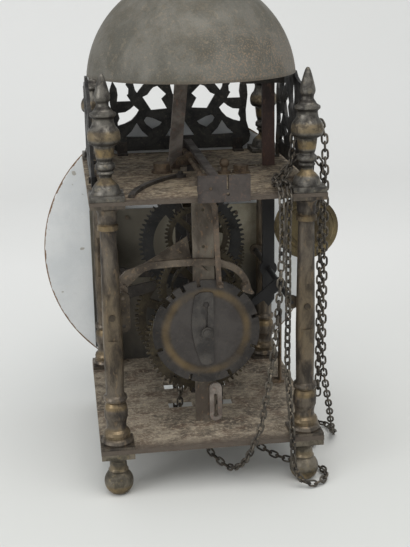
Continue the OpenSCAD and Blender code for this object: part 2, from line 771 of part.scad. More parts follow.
module movement_bar(y, w, col) {
  color(col) difference() {
    union() {
      block(-w / 2, w / 2, y, y + bar_t, floor_z + 0.02, deck_z - 0.02);
      block(-tenon_w / 2 + fit, tenon_w / 2 - fit, y + fit, y + bar_t - fit, foot_h - 6, top_z + 3.8);
    }
    children();
    block(-tenon_w, tenon_w, y + 1.2, y + 2.8, foot_h - 3, foot_h - 0.02);
    block(-tenon_w, tenon_w, y + 1.2, y + 2.8, top_z + 0.02, top_z + 3);
  }
}

module pivot_hole(y, x, z) {
  rod(pivot_r + fit, y - 1, y + bar_t + 1, x, z);
}

module front_bar() {
  movement_bar(front_bar_y, bar_w, "#57504a") {
    pivot_hole(front_bar_y, 0, great_z);
    pivot_hole(front_bar_y, 0, escape_z);
    rod(1.6, front_bar_y - 1, front_bar_y + bar_t + 1, 0, dial_z);
  }
  // lobe at its side for the second arbor
  color("#57504a") slab(front_bar_y, front_bar_y + bar_t) difference() {
    union() {
      translate([second_x, second_z]) circle(r = 6);
      polygon([[-bar_w / 2 + 1, second_z - 8], [second_x, second_z - 6], [second_x, second_z + 6],
        [-bar_w / 2 + 1, second_z + 8]]);
    }
    translate([second_x, second_z]) circle(r = pivot_r + fit);
  }
  // stud on which the hour wheel's pipe turns
  color("#8a8378") rod(1.6, hour_stud_y, front_bar_y + bar_t, 0, dial_z);
}

module middle_bar() {
  movement_bar(middle_bar_y, 9.4, "#57504a") {
    for (z = [great_z, escape_z, hoop_z, warn_z, fly_z]) pivot_hole(middle_bar_y, 0, z);
    rod(cock_rivet_r, middle_bar_y - 1, middle_bar_y + bar_t + 1, 0, cock_foot_z + cock_foot_t / 2);
  }
}

module back_bar() {
  movement_bar(back_bar_y, bar_w, "#655b4b") {
    for (z = [great_z, hoop_z, warn_z, fly_z]) pivot_hole(back_bar_y, 0, z);
    rod(stud_hole_r, back_bar_y - 1, back_bar_y + bar_t + 1, 0, count_z);
    rod(1.2, back_bar_y - 1, back_bar_y + bar_t + 1, -4.5, floor_z + 24);
  }
}

module bar_wedges() {
  color("#6b4a33") for (y = [front_bar_y, middle_bar_y, back_bar_y]) {
    block(-8.5, 8.5, y + 1.25, y + 2.75, foot_h - 2.6, foot_h - 0.04);
    block(-8.5, 8.5, y + 1.25, y + 2.75, top_z + 0.04, top_z + 2.6);
  }
}

// A looped strap hung on the foot of the back bar
module bar_hasp() {
  x = -6.6;
  z1 = floor_z + 4.7;
  z2 = floor_z + 25;
  color("#6f6455") {
    slab(back_bar_y + bar_t + 0.4, back_bar_y + bar_t + 2.4) difference() {
      union() {
        translate([x, z1]) circle(r = 4.3);
        translate([x - 4.3, z1]) square([8.6, z2 - z1]);
        translate([x, z2]) circle(r = 4.3);
      }
      translate([x - 1.2, z1]) square([2.4, z2 - z1 - 4]);
      translate([x, z1]) circle(r = 1.9);
    }
    rod(1.15, back_bar_y, back_bar_y + bar_t + 1, -4.5, floor_z + 24);
    rod(2, back_bar_y + bar_t + 2, back_bar_y + bar_t + 3.4, -4.5, floor_z + 24);
  }
}

// Levers on the left

function lug_z(sx) = sx > 0 ? detent_z : lug_z;

module one_lug(sx, sy) {
  x = sx * lug_x;
  inner = sy > 0 ? lug_y : -lug_y - lug_t;
  eyes = sx > 0 ? [detent_z, lift_z] : [lug_z];
  difference() {
    union() {
      slab(inner, inner + lug_t) {
        for (z = eyes) translate([x, z]) circle(r = 4.5);
        if (sx > 0) translate([x - 4.5, lift_z]) square([9, detent_z - lift_z]);
        translate([sx > 0 ? x : -half_dx, lug_z - 3.5]) square([half_dx - lug_x, 7]);
        translate([sx * half_dx, lug_z]) circle(r = 3.5);
      }
      rod(lug_stub_r, sy > 0 ? inner : -half_dy - flat_off - 1,
        sy > 0 ? half_dy + flat_off + 1 : inner + lug_t,
        sx * half_dx, lug_z);
    }
    for (z = eyes) rod(lever_pivot_r + fit, inner - 1, inner + lug_t + 1, x, z);
  }
}

module arbor_lugs() {
  color("#5b5148") for (sx = [-1, 1], sy = [-1, 1]) one_lug(sx, sy);
}

// A lever's arbor between the lugs on two pillars
module lever_arbor(x, z, r) {
  rod(r, -lug_y + gap, lug_y - gap, x, z);
  rod(lever_pivot_r, -lug_y - lug_t + 0.2, lug_y + lug_t - 0.2, x, z);
}

// The count detent: a bent strip from the left arbor over the count wheel's rim
module count_detent() {
  y1 = 49;
  arc_c = [-8.6, count_z + 24.5];
  arc_r = 21.7;
  rim = count_wheel_r + detent_clear;
  nose = [[rim, -1], [rim, 1], [rim + 2.6, 9], [rim + 4.6, 9.6], [rim + 6.5, -1.6], [rim + 2.6, -3.2]];
  color("#7a6a5c") {
    lever_arbor(lug_x, detent_z, 2);
    slab(y1, y1 + 3) {
      translate([lug_x, detent_z]) circle(r = 4.6);
      polygon(band([[lug_x, detent_z], [lug_x + 1, detent_z + 6], [lug_x - 4, detent_z + 11],
        [36.8, arc_c[1] + 23], [20, arc_c[1] + 23.8], [1.4, arc_c[1] + 23.7],
        for (a = [95:8.5:180]) arc_c + polar(arc_r + max(0, 103 - a) / 8, a)], 5, 4));
      polygon(band([[10, arc_c[1] + 23.5], [3, arc_c[1] + 20.5], [-1.5, arc_c[1] + 17]], 3, 1));
    }
    slab(y1, count_plate_y + 2.4)
      polygon([for (p = nose) [0, count_z] + polar(p[0], detent_notch + p[1])]);
  }
}

module locking_blade() {
  color("#6f625a") slab(hoop_y + 7, hoop_y + 8.6) difference() {
    union() {
      translate([lug_x, detent_z]) circle(r = 4.4);
      polygon([[lug_x, detent_z + 4.4], [10, hoop_z + 38.6], [7.6, hoop_z + 22.6], [34, hoop_z + 21],
        [lug_x - 2, detent_z - 4]]);
    }
    translate([lug_x, detent_z]) circle(r = 2.02);
  }
}

module lifting_lever() {
  color("#4e4640") {
    lever_arbor(lug_x, lift_z, 2);
    slab(0, 3) {
      translate([lug_x, lift_z]) circle(r = 5);
      polygon([[lug_x, lift_z - 5], [lug_x + 3, lift_z + 4], [lug_x - 27, lift_z + 9.6],
        [lug_x - 28.5, lift_z + 7], [lug_x - 26, lift_z + 2.6]]);
    }
    // arm that the hour wheel's pins lift
    slab(front_bar_y + bar_t + 1.5, front_bar_y + bar_t + 3.9) {
      translate([lug_x, lift_z]) circle(r = 4.4);
      polygon([[lug_x, lift_z - 4.4], [lug_x, lift_z + 4.4], [20, lift_z - 3], [20, lift_z - 6]]);
    }
  }
}

// Hammer

module hammer_stem() {
  pin_path = strike_mod * strike_n / 2 - 5 + 1;
  tail_l = norm([hammer_x, lug_z - great_z]) - pin_path - 0.8;
  tail_a = atan2(great_z - lug_z, -hammer_x);
  tail_y = strike_y + wheel_t + 0.8;
  color("#5a3f38") {
    lever_arbor(hammer_x, lug_z, 2);
    slab(stem_y, stem_y + stem_t) {
      translate([hammer_x - stem_w / 2, lug_z - 24]) square([stem_w, head_z - lug_z + 24.02]);
      translate([hammer_x, lug_z]) circle(r = 6.4);
      polygon([[hammer_x - stem_w / 2, lug_z - 24], [hammer_x, lug_z - 30],
        [hammer_x + stem_w / 2, lug_z - 24]]);
    }
    // tail that the pins of the great wheel press down
    slab(tail_y, tail_y + 2.4) translate([hammer_x, lug_z]) rotate(tail_a) {
      circle(r = 4.6);
      polygon([[0, -4.4], [tail_l - 5, -2], [tail_l, -1], [tail_l, 1], [tail_l - 5, 2], [0, 4.4]]);
    }
  }
}

module hammer_head() {
  color("#4b4746") slab(stem_y - 2.4, stem_y + stem_t + 2.4)
    polygon([[-half_dx - 3, head_z], [hammer_x + 20, head_z], [hammer_x + 20, head_z + 5],
      [hammer_x + 4, head_z + 7], [hammer_x + 3, head_z + 17], [-half_dx + 2.5, head_z + 17],
      [-half_dx + 1.5, head_z + 7], [-half_dx - 3, head_z + 5.5]]);
}

module hammer_spring() {
  foot_x = hammer_x - 9.6;
  color("#38363a") {
    block(foot_x - 2, foot_x + 9, stem_y - 2.5, stem_y + 5.5, floor_z + 0.02, floor_z + 2);
    block(foot_x, foot_x + 1.2, stem_y - 2.5, stem_y + 5.5, floor_z + 1, floor_z + 58);
  }
}

// Bell

module bell() {
  ball_z = rim_z + bell_h - bell_r;
  color("#7b7768") difference() {
    at(0, 0, ball_z) rotate_extrude($fn = 96) difference() {
      intersection() {
        circle(r = bell_r, $fn = 128);
        translate([0, rim_z - ball_z]) square([bell_r, bell_r]);
      }
      circle(r = bell_r - bell_t, $fn = 128);
    }
    at(0, 0, ball_z) cylinder(r = 3.1, h = bell_r + 10);
  }
}

module bell_strap() {
  under = rim_z + bell_h - bell_t;
  color("#6d625a") {
    hull() {
      block(strap_x - strap_w / 2, strap_x + strap_w / 2, strap_y, strap_y + 3.4, top_z + 0.02, top_z + 3);
      block(-strap_w / 2, strap_w / 2, -1.7, 1.7, under - 6, under - 1.6);
    }
    block(strap_x - strap_w / 2, strap_x + strap_w / 2, strap_y - 12, strap_y + 1, top_z + 0.02, top_z + 3);
    at(0, 0, under - 2) cylinder(r = 5.4, h = 1.7);
    at(0, 0, under - 2) cylinder(r = 3, h = bell_t + 10);
    at(strap_x, strap_y - 8, deck_z - 3) cylinder(r = 2, h = top_t + 5);
  }
}

module bell_nut() {
  at(0, 0, rim_z + bell_h + 0.15) difference() {
    union() {
      cylinder(r = 8, h = 1.4);
      cylinder(r = 6, h = 4.6, $fn = 6);
    }
    translate([0, 0, -1]) cylinder(r = 3.05, h = 8);
  }
}

// Frets

// Half outline of a fret from the crest down the open side, x from the middle, h from the deck
function fret_side() = [
  [0, fret_h], [2.2, fret_h - 4], [5, fret_h - 8], [9, fret_h - 11], [15, fret_h - 13],
  [24, fret_h - 14], [33, fret_h - 15], [39.5, fret_h - 18.5], [41.4, 53.5], [39.3, 50.5], [39.6, 46.5],
  [40.8, 45.6], [38, 41], [48.6, 41], [47.8, 46], [48.4, 51], [51.5, 57], [54, 50], [54.5, 43],
  [53, 31], [53.4, 23], [56, 14], [56.5, 11.5], [55.4, 6.5], [50, 2.6], [0, 2.6]
];

// The openings of one half, cut through between the scrolls
function fret_openings() = [
  [[35.5, 37.5], [38.5, 35], [42.5, 32.8], [48, 32.3], [47, 28], [48.6, 25], [48.4, 22.5],
    [43, 24], [37.8, 26.5], [33.8, 30.6], [31.7, 34]],
  [[16.8, 52], [20, 51], [22, 49], [24.7, 45.6], [28.5, 44], [22, 33.7], [9.7, 34.5], [13.8, 42], [10, 45.5]],
  [[32.7, 47.2], [34.2, 49.5], [35.3, 54], [33.6, 58], [28, 59], [22.5, 57.4], [28, 53]],
  [[33.8, 24.2], [30, 18], [24.8, 13], [43, 13.5], [38, 18]],
  [[26, 28.8], [21, 27.5], [13.8, 24], [16, 21.5], [21.5, 19], [26.5, 23], [28, 26]]
];

// Crests stand free in front; at the sides they are cut level below the bell's rim
module fret_shape(stretch, top) {
  side = [for (p = fret_side()) [p[0] * stretch, p[1]]];
  n = len(side);
  difference() {
    polygon([for (i = [0:n - 1]) side[i], for (i = [n - 1:-1:1]) [-side[i][0], side[i][1]]]);
    for (s = [-1, 1], shape = fret_openings()) polygon([for (p = shape) [s * p[0] * stretch, p[1]]]);
    polygon([for (p = [[0, 30], [11.5, 13], [-11.5, 13]]) [p[0] * stretch, p[1]]]);
    polygon([for (p = [[0, 40], [5, 46], [6.6, 52], [5, 59], [0, 66], [-5, 59], [-6.6, 52], [-5, 46]])
      [p[0] * stretch, p[1]]]);
    for (s = [-1, 1]) translate([s * 46 * stretch, 7]) circle(r = 1.3);
    translate([-50, top]) square([100, 50]);
  }
}

module front_fret() {
  color("#2c2b2d") slab(front_fret_y, front_fret_y + fret_t)
    translate([0, top_z]) fret_shape(front_stretch, fret_h + 1);
}

module side_fret(s) {
  x = s > 0 ? side_fret_x : -side_fret_x + fret_t;
  color("#2c2b2d") at(x - fret_t, 0, top_z) rotate([90, 0, 90])
    linear_extrude(fret_t) fret_shape(side_stretch, rim_lift - 0.6);
}

module left_fret() { side_fret(1); }
module right_fret() { side_fret(-1); }

// Small angle clips and screws that hold the frets to the top plate
module fret_clip() {
  difference() {
    union() {
      translate([-4, 0, 0]) cube([8, 7, 1.4]);
      translate([-4, 0, 0]) cube([8, 1.4, 10]);
    }
    translate([0, -1, 7]) rotate([-90, 0, 0]) cylinder(r = 1.25, h = 4);
  }
  translate([0, -fret_t - 1.4, 7]) rotate([-90, 0, 0]) cylinder(r = 1.2, h = fret_t + 3.4);
  translate([0, -fret_t - 1.6, 7]) rotate([-90, 0, 0]) cylinder(r = 2.2, h = 1.4);
}

module fret_screws() {
  color("#4b4641") {
    for (s = [-1, 1]) {
      at(s * 46 * front_stretch, front_fret_y + fret_t + 0.02, top_z + 0.02) fret_clip();
      for (e = [-1, 1]) at(s * (side_fret_x - fret_t - 0.02), e * 46 * side_stretch, top_z + 0.02)
        rotate([0, 0, 90 * s]) fret_clip();
    }
  }
}

// Small iron pieces on the top plate

module nuts() {
  color("#4c4640") {
    bell_nut();
    at(22, -4, top_z + 0.02) {
      cylinder(r = 7.4, h = 2);
      cylinder(r = 6, h = 7);
    }
    at(-21, 9, top_z + 0.02) {
      cylinder(r = 4.5, h = 2);
      translate([0, 0, 2]) cylinder(r = 2.2, h = 3);
      translate([0, 0, 7.4]) sphere(r = 3.6);
    }
    at(-33, 8, top_z + 0.02) {
      cylinder(r = 6.5, h = 1.2);
      cylinder(r = 5.4, h = 5.4, $fn = 6);
    }
  }
}

module stop_finger() {
  color("#4f4038") at(11, 16, top_z + 0.02) {
    cylinder(r = 4, h = 2.2);
    cylinder(r = 1.8, h = 4);
    linear_extrude(2.2) difference() {
      translate([-60, 77]) circle(r = 101.6, $fn = 160);
      translate([-60, 77]) circle(r = 97.8, $fn = 160);
      polygon([[-200, -100], [0, -100], [0, 0], [0, 0], [-10, 60], [60, 60], [60, 220], [-200, 220]]);
      translate([-200, -100]) square([200, 400]);
      translate([-200, -200]) square([400, 200]);
    }
  }
}

// Chains

// A link: two round ends and two straight sides, lying along X and flat in X and Y
module link() {
  end_r = (link_w - wire_d) / 2;
  side = link_l - link_w;
  for (e = [0, 180]) rotate([0, 0, e]) translate([side / 2, 0, 0]) rotate([0, 0, -90])
    rotate_extrude(angle = 180, $fn = 24) translate([end_r, 0]) circle(r = wire_d / 2, $fn = 14);
  for (e = [-1, 1]) translate([-side / 2, e * end_r, 0]) rotate([0, 90, 0])
    cylinder(r = wire_d / 2, h = side, $fn = 14);
}

function unit(v) = v / norm(v);

// A smooth line through the points that are given
function smooth(p, n) = [
  for (i = [0:len(p) - 2], j = [0:n - 1])
    let (t = j / n, a = p[max(i - 1, 0)], b = p[i], c = p[i + 1], d = p[min(i + 2, len(p) - 1)])
      b + t * (c - a + t * (2 * a - 5 * b + 4 * c - d + t * (3 * b - a - 3 * c + d))) / 2
];

// Points on a line that stand one pitch from each other, which is where two links meet
function meets(p, i, last, out) = i >= len(p) ? out :
  norm(p[i] - last) < link_pitch ? meets(p, i + 1, last, out) :
  let (a = p[i - 1], da = norm(a - last), q = a + (p[i] - a) * (link_pitch - da) / (norm(p[i] - last) - da))
    meets(p, i, q, concat(out, [q]));

// Directions of the links, and a crosswise direction carried along unturned
function ways(m) = [for (i = [0:len(m) - 2]) unit(m[i + 1] - m[i])];
function flats(d) = [
  for (i = 0, n = unit(cross(d[0], [0.3, 0.2, 1])); i < len(d);
    i = i + 1, n = i < len(d) ? unit(n - (n * d[i]) * d[i]) : n) n
];

// The links of a course: middle, direction and the way across the flat side, a quarter turn on at each
function links(course) =
  let (line = smooth(course, 24), m = meets(line, 1, line[0], [line[0]]), d = ways(m), f = flats(d))
    [for (i = [0:len(d) - 1]) [(m[i] + m[i + 1]) / 2, d[i], i % 2 == 0 ? f[i] : cross(d[i], f[i])]];

// Places a piece in the frame of a link: X along it, Y across its flat side
module at_link(l) {
  u = cross(l[1], l[2]);
  translate([0, y0, 0]) multmatrix([
    [l[1][0], l[2][0], u[0], l[0][0]], [l[1][1], l[2][1], u[1], l[0][1]], [l[1][2], l[2][2], u[2], l[0][2]]
  ]) children();
}

module chain(course) {
  for (l = links(course)) at_link(l) link();
}

// Over a pulley, from the strand on the right to the strand on the left
function over_pulley(y) = [for (a = [0:22.5:180]) [-chain_run_r * cos(a), y, great_z + chain_run_r * sin(a)]];

// The striking chain: a short end, over its pulley, out under the back edge, up and over the deck
strike_course = [
  [-chain_run_r, strike_pulley_y, 13], [-chain_run_r, strike_pulley_y, 45],
  [-chain_run_r, strike_pulley_y, great_z - 14], each over_pulley(strike_pulley_y),
  [chain_run_r, strike_pulley_y, great_z - 14], [chain_run_r, strike_pulley_y, 45],
  [chain_run_r, strike_pulley_y + 0.5, 30], [11, 22, 20], [2, 40, 15.8], [-5, 51, 9.5],
  [-13.4, 61.4, 5.6], [-18.8, 75, 12.6], [-23, 87, 25], [-26, 91.6, 36], [-29, 92, 43], [-31.8, 92, 51],
  [-33.2, 92, 61], [-36, 92, 76], [-38.7, 92, 93], [-40.7, 92.5, 111], [-42, 93.5, 125],
  [-42.8, 95, 139], [-44, 95.5, 160]
];
// Its slack end: over the deck's edge, through the right fret and down outside
strike_end_course = [
  [-44.2, 95.5, 165.4], [-44.6, 95.4, 180], [-44.6, 94.9, 194], [-44.8, 93, 204], [-44.9, 88.6, 210.6],
  [-45, 82, 213], [-45.2, 75, 211.6], [-45.6, 67, 210.3], [-47, 57, 210.1], [-50.5, 47, 210.1],
  [-56, 40.4, 212], [-60.6, 38.2, 216], [-64.3, 36.6, 220.4], [-68, 35.7, 223.2], [-72.5, 35.5, 224.3],
  [-77, 35.6, 223.2], [-80.8, 36.4, 220.4], [-83.7, 38, 215.6], [-84.8, 40.4, 207], [-83.6, 43.8, 196],
  [-82, 46.4, 184], [-81, 48, 170], [-80.9, 48.4, 150], [-80.9, 48.6, 120], [-80.7, 49, 90],
  [-80.4, 50, 64], [-80.2, 51, 46]
];
// The going chain: a short end, over its pulley, along the floor about the foot, and up
going_course = [
  [chain_run_r, going_pulley_y, 13], [chain_run_r, going_pulley_y, 45],
  [chain_run_r, going_pulley_y, great_z - 14],
  for (p = over_pulley(going_pulley_y)) [-p[0], p[1], p[2]],
  [-chain_run_r, going_pulley_y, great_z - 14], [-chain_run_r, going_pulley_y, 45],
  [-15.4, going_pulley_y + 1, 29], [-19, -10, 19], [-25, 12, 15], [-31, 33, 13.5], [-40, 40, 9.5],
  [-49, 44.5, 4.5], [-57, 50.5, 3.2], [-66, 58, 3.2], [-75.6, 64, 3.2], [-80.4, 74.5, 3.2],
  [-76.8, 86, 3.2], [-67.6, 91.6, 3.2], [-59.6, 90.6, 6.8], [-55, 89.9, 15.6], [-53.8, 90, 27],
  [-53.4, 90, 38], [-52.4, 90, 52], [-50.9, 90, 70], [-49.7, 90, 87], [-49.4, 90, 103]
];
// Its slack end: up over the deck, over the right fret and down to the floor at the right
going_end_course = [
  [-49.4, 90, 108.4], [-49.8, 90, 122], [-49.8, 90, 140], [-49.8, 90, 158], [-49.8, 89.8, 178],
  [-50.2, 89.8, 194], [-50.6, 89.6, 203.6], [-50.8, 86.2, 210.2], [-50.8, 80, 213],
  [-50.8, 73.4, 211.8], [-51.6, 66, 210.4], [-53.6, 58.6, 210.3], [-56.6, 53, 213], [-59.6, 49.6, 220],
  [-61.2, 47.6, 229], [-61.9, 47, 239], [-63.6, 46.9, 244.6], [-66.8, 46.9, 249.4],
  [-72.5, 46.9, 251.5], [-78.2, 46.9, 249.4], [-81.4, 47, 244.6], [-83, 48, 238], [-82.8, 51.6, 225],
  [-82, 56.6, 208], [-81.2, 60, 190], [-81, 60.4, 165], [-80.9, 60.4, 140], [-80.9, 60, 115],
  [-81, 59.4, 92], [-82.2, 57.6, 75], [-85.8, 52.5, 57], [-90.8, 43, 37], [-95.6, 31, 18],
  [-99.8, 21, 7.4], [-102.6, 11, 3.6], [-101, 0, 3.2], [-93, -7, 3.2], [-83, -5, 3.2], [-77.6, 4, 3.2],
  [-79.6, 14, 3.2], [-83.6, 23, 3.2], [-80.4, 33, 3.2], [-71, 36, 3.2]
];

module strike_chain() { color("#3d3c3a") chain(strike_course); }
module strike_chain_end() { color("#4a4640") chain(strike_end_course); }
module going_chain() { color("#3d3c3a") chain(going_course); }
module going_chain_end() { color("#4a4640") chain(going_end_course); }

// Weight pulley

// A round wire through points, with a ball at every bend
module wire(r, p) {
  for (i = [0:len(p) - 2]) {
    v = p[i + 1] - p[i];
    translate(p[i]) rotate([0, acos(v[2] / norm(v)), atan2(v[1], v[0])]) cylinder(r = r, h = norm(v));
    translate(p[i + 1]) sphere(r = 1.08 * r);
  }
}

module weight_pulley() {
  half = weight_t / 2;
  side = [[weight_pin_r + fit, half], [6, half], [6.4, half - 0.6], [12, half - 0.6], [12.4, half], [15.6, half],
    [16.2, half - 0.5], [weight_r - 3.6, half - 0.5], [weight_r - 3, half], [weight_r, half],
    [weight_r, half - 1.2], [weight_r - 4.4, 1]];
  n = len(side) - 1;
  color("#a88b4a") at(weight_at[0], weight_at[1], weight_at[2]) rotate([90, 0, 0]) rotate_extrude($fn = 96)
    polygon([each side, for (i = [n:-1:0]) [side[i][0], -side[i][1]]]);
}

// A pin through the pulley, and a wire that hangs it by a ring from a link of the slack chain
module weight_hook() {
  all = links(strike_end_course);
  l = [for (i = [0:2:len(all) - 1]) if (all[i][0][0] < -80 && all[i][0][2] < 197) all[i]][0];
  x = weight_at[0];
  z = weight_at[2];
  pin_start = weight_at[1] - weight_t / 2 - 1.8;
  pin_end = weight_at[1] + weight_t / 2 + 3.4;
  color("#3f3d3b") {
    rod(weight_pin_r, pin_start + 1, pin_end, x, z);
    rod(3, pin_start, pin_start + 1.5, x, z);
    translate([0, y0, 0]) wire(1, [[x, pin_end - 1, z], [x - 1, pin_end + 0.1, z + 5],
      [x - 6, pin_end + 0.2, z + 12.5], l[0] - 2 * hook_ring_r * l[2]]);
    at_link(l) translate([0, -hook_ring_r, 0]) rotate([0, 90, 0]) rotate_extrude($fn = 36)
      translate([hook_ring_r, 0]) circle(r = wire_d / 2, $fn = 16);
  }
}

base_plate();
top_plate();
pillar(1, -1);  // pillar_front_left
pillar(-1, -1);  // pillar_front_right
pillar(1, 1);  // pillar_back_left
pillar(-1, 1);  // pillar_back_right
foot(1, -1);  // foot_front_left
foot(-1, -1);  // foot_front_right
foot(1, 1);  // foot_back_left
foot(-1, 1);  // foot_back_right
finial(1, -1);  // finial_front_left
finial(-1, -1);  // finial_front_right
finial(1, 1);  // finial_back_left
finial(-1, 1);  // finial_back_right
front_fret();
left_fret();
right_fret();
fret_screws();
front_plate();
dial();
hour_hand();
hour_wheel();
front_bar();
middle_bar();
back_bar();
bar_wedges();
going_great_wheel();
going_pulley();
second_wheel();
second_wheel_cock();
escape_wheel();
anchor();
crutch();
back_cock();
strike_great_wheel();
strike_pulley();
hoop_wheel();
warning_wheel();
fly();
count_wheel();
count_wheel_stud();
count_wheel_spring();
count_detent();
locking_blade();
lifting_lever();
arbor_lugs();
hammer_stem();
hammer_head();
hammer_spring();
bell();
bell_strap();
nuts();
stop_finger();
bar_hasp();
strike_chain();
strike_chain_end();
going_chain();
going_chain_end();
weight_pulley();
weight_hook();
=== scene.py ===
import bpy
import bmesh
from math import cos, pi, radians, sin
from mathutils import Matrix, Vector
import numpy as np


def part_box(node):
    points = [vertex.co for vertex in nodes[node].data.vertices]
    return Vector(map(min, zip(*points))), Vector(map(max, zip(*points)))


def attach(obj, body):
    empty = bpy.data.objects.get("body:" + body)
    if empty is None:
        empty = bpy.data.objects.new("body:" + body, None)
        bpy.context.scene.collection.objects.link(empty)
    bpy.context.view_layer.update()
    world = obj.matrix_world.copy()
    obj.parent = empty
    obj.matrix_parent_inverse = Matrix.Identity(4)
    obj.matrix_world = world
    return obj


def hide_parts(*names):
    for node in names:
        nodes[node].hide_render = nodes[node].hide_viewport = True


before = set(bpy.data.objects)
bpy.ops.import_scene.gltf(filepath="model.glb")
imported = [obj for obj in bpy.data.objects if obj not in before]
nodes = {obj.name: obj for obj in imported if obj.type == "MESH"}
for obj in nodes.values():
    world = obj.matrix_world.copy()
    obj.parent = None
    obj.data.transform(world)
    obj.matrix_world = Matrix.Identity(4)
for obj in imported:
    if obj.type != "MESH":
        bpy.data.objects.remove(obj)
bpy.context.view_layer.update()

# The camera stands behind the clock, a little to the left of its middle and above it,
# because the clock was photographed from its open back. Its lens and place come from the
# corners of the plates, the feet and the dial in the photograph.
camera_place = (0.08996, 0.74395, 0.3543)
turn, tip, lean = radians(-7.476), radians(16.639), radians(-1.054)
camera_data = bpy.data.cameras.new("camera")
camera_data.sensor_fit = "VERTICAL"
camera_data.sensor_height = 36
camera_data.lens = 70.06
camera_data.clip_start = 0.01
camera = bpy.data.objects.new("camera", camera_data)
bpy.context.scene.collection.objects.link(camera)
ahead = Vector((sin(turn) * cos(tip), -cos(turn) * cos(tip), -sin(tip)))
aside = ahead.cross(Vector((0, 0, 1))).normalized()
above = aside.cross(ahead)
aside, above = aside * cos(lean) + above * sin(lean), above * cos(lean) - aside * sin(lean)
facing = Matrix((aside, above, -ahead)).transposed().to_4x4()
camera.matrix_world = Matrix.Translation(camera_place) @ facing
bpy.context.scene.camera = camera

# The floor and the wall behind it are one pale sheet, swept up behind the dial, under
# plain soft light from a wide lamp above and a weaker one on the left.
sheet_width = 4.8
sheet_near, sheet_far, sweep_radius, sheet_top = 1.6, -0.9, 0.5, 2.2
sweep_steps = 12


def points_in(made):
    return [part for part in made if isinstance(part, bmesh.types.BMVert)]


def piece_of(shape, name):
    """A finished shape becomes a piece whose place is in its mesh."""
    mesh = bpy.data.meshes.new(name)
    shape.to_mesh(mesh)
    shape.free()
    piece = bpy.data.objects.new(name, mesh)
    bpy.context.scene.collection.objects.link(piece)
    return piece


sweep = bmesh.new()
edge = [sweep.verts.new((-sheet_width / 2, y, 0)) for y in (sheet_near, sheet_far)]
for k in range(1, sweep_steps + 1):
    t = pi / 2 * k / sweep_steps
    y, z = sheet_far - sweep_radius * sin(t), sweep_radius - sweep_radius * cos(t)
    edge.append(sweep.verts.new((-sheet_width / 2, y, z)))
edge.append(sweep.verts.new((-sheet_width / 2, sheet_far - sweep_radius, sheet_top)))
strip = [sweep.edges.new(pair) for pair in zip(edge, edge[1:])]
moved = bmesh.ops.extrude_edge_only(sweep, edges=strip)["geom"]
bmesh.ops.translate(sweep, vec=(sheet_width, 0, 0), verts=points_in(moved))
bmesh.ops.recalc_face_normals(sweep, faces=sweep.faces)
for face in sweep.faces:
    face.smooth = True
studio = piece_of(sweep, "studio_sheet")


def shade(hexcode):
    """A colour as it looks on screen, turned into the light that a material takes."""
    values = [int(hexcode[i:i + 2], 16) / 255 for i in (1, 3, 5)]
    return [v / 12.92 if v <= 0.04045 else ((v + 0.055) / 1.055) ** 2.4 for v in values] + [1]


def put(tree, kind, **inputs):
    """Adds a node whose inputs are values or come from other nodes."""
    node = tree.nodes.new("ShaderNode" + kind)
    for label, value in inputs.items():
        label = label.replace("_", " ")
        if isinstance(value, bpy.types.NodeSocket):
            tree.links.new(value, node.inputs[label])
        else:
            node.inputs[label].default_value = value
    return node


def blend_of(tree, factor, first, second, mode="MIX"):
    """The second colour over the first, as far as the factor says."""
    node = tree.nodes.new("ShaderNodeMix")
    node.data_type = "RGBA"
    node.blend_type = mode
    for socket, value in ((node.inputs[0], factor), (node.inputs[6], first), (node.inputs[7], second)):
        if isinstance(value, bpy.types.NodeSocket):
            tree.links.new(value, socket)
        else:
            socket.default_value = value
    return node.outputs[2]


paper = bpy.data.materials.new("pale_paper")
paper.use_nodes = True
tree = paper.node_tree
place = put(tree, "TexCoord").outputs["Object"]
cloudy = put(tree, "TexNoise", Vector=place, Scale=1.3)
tone = put(tree, "ValToRGB", Fac=cloudy.outputs["Fac"])
tone.color_ramp.elements[0].color = shade("#d9d8d5")
tone.color_ramp.elements[1].color = shade("#e0dfdd")
# Painted shade: the sheet's colour darkens towards the camera, where the light falls off.
depth = put(tree, "SeparateXYZ", Vector=place).outputs["Y"]
towards_camera = put(tree, "MapRange", Value=depth, From_Min=-0.5, From_Max=0.5)
paper_with_painted_shade = blend_of(tree, towards_camera.outputs["Result"], tone.outputs["Color"], shade("#c1c2be"))
surface = tree.nodes["Principled BSDF"]
surface.inputs["Roughness"].default_value = 0.9
surface.inputs["Specular IOR Level"].default_value = 0.1
tree.links.new(paper_with_painted_shade, surface.inputs["Base Color"])
studio.data.materials.append(paper)

world = bpy.data.worlds.new("studio_air")
world.use_nodes = True
world.node_tree.nodes["Background"].inputs["Color"].default_value = (0.93, 0.97, 1.0, 1)
world.node_tree.nodes["Background"].inputs["Strength"].default_value = 0.8
bpy.context.scene.world = world
for name, stand, aim, size, power, colour in (
        ("lamp_above", (-0.15, 0.75, 1.5), (0, 0, 0.15), 1.5, 15.5, (1, 0.98, 0.95)),
        ("lamp_left", (1.2, 0.8, 0.55), (0, 0, 0.2), 0.7, 7.0, (0.97, 0.98, 1))):
    lamp = bpy.data.lights.new(name, "AREA")
    lamp.shape = "DISK"
    lamp.size = size
    lamp.energy = power
    lamp.color = colour
    holder = bpy.data.objects.new(name, lamp)
    holder.location = stand
    holder.rotation_euler = (Vector(aim) - Vector(stand)).to_track_quat("-Z", "Y").to_euler()
    holder.visible_camera = False
    bpy.context.scene.collection.objects.link(holder)
bpy.context.scene.view_settings.view_transform = "Standard"


# The two plates are sheets of iron with a dull ochre skin, dusty on top and blotched
# purple-brown where it has gone. They are pierced for the bars' tenons, the chains, the
# anchor, the hammer and the pillars' studs.
plate_back = 0.09
dent_depth = 0.0004


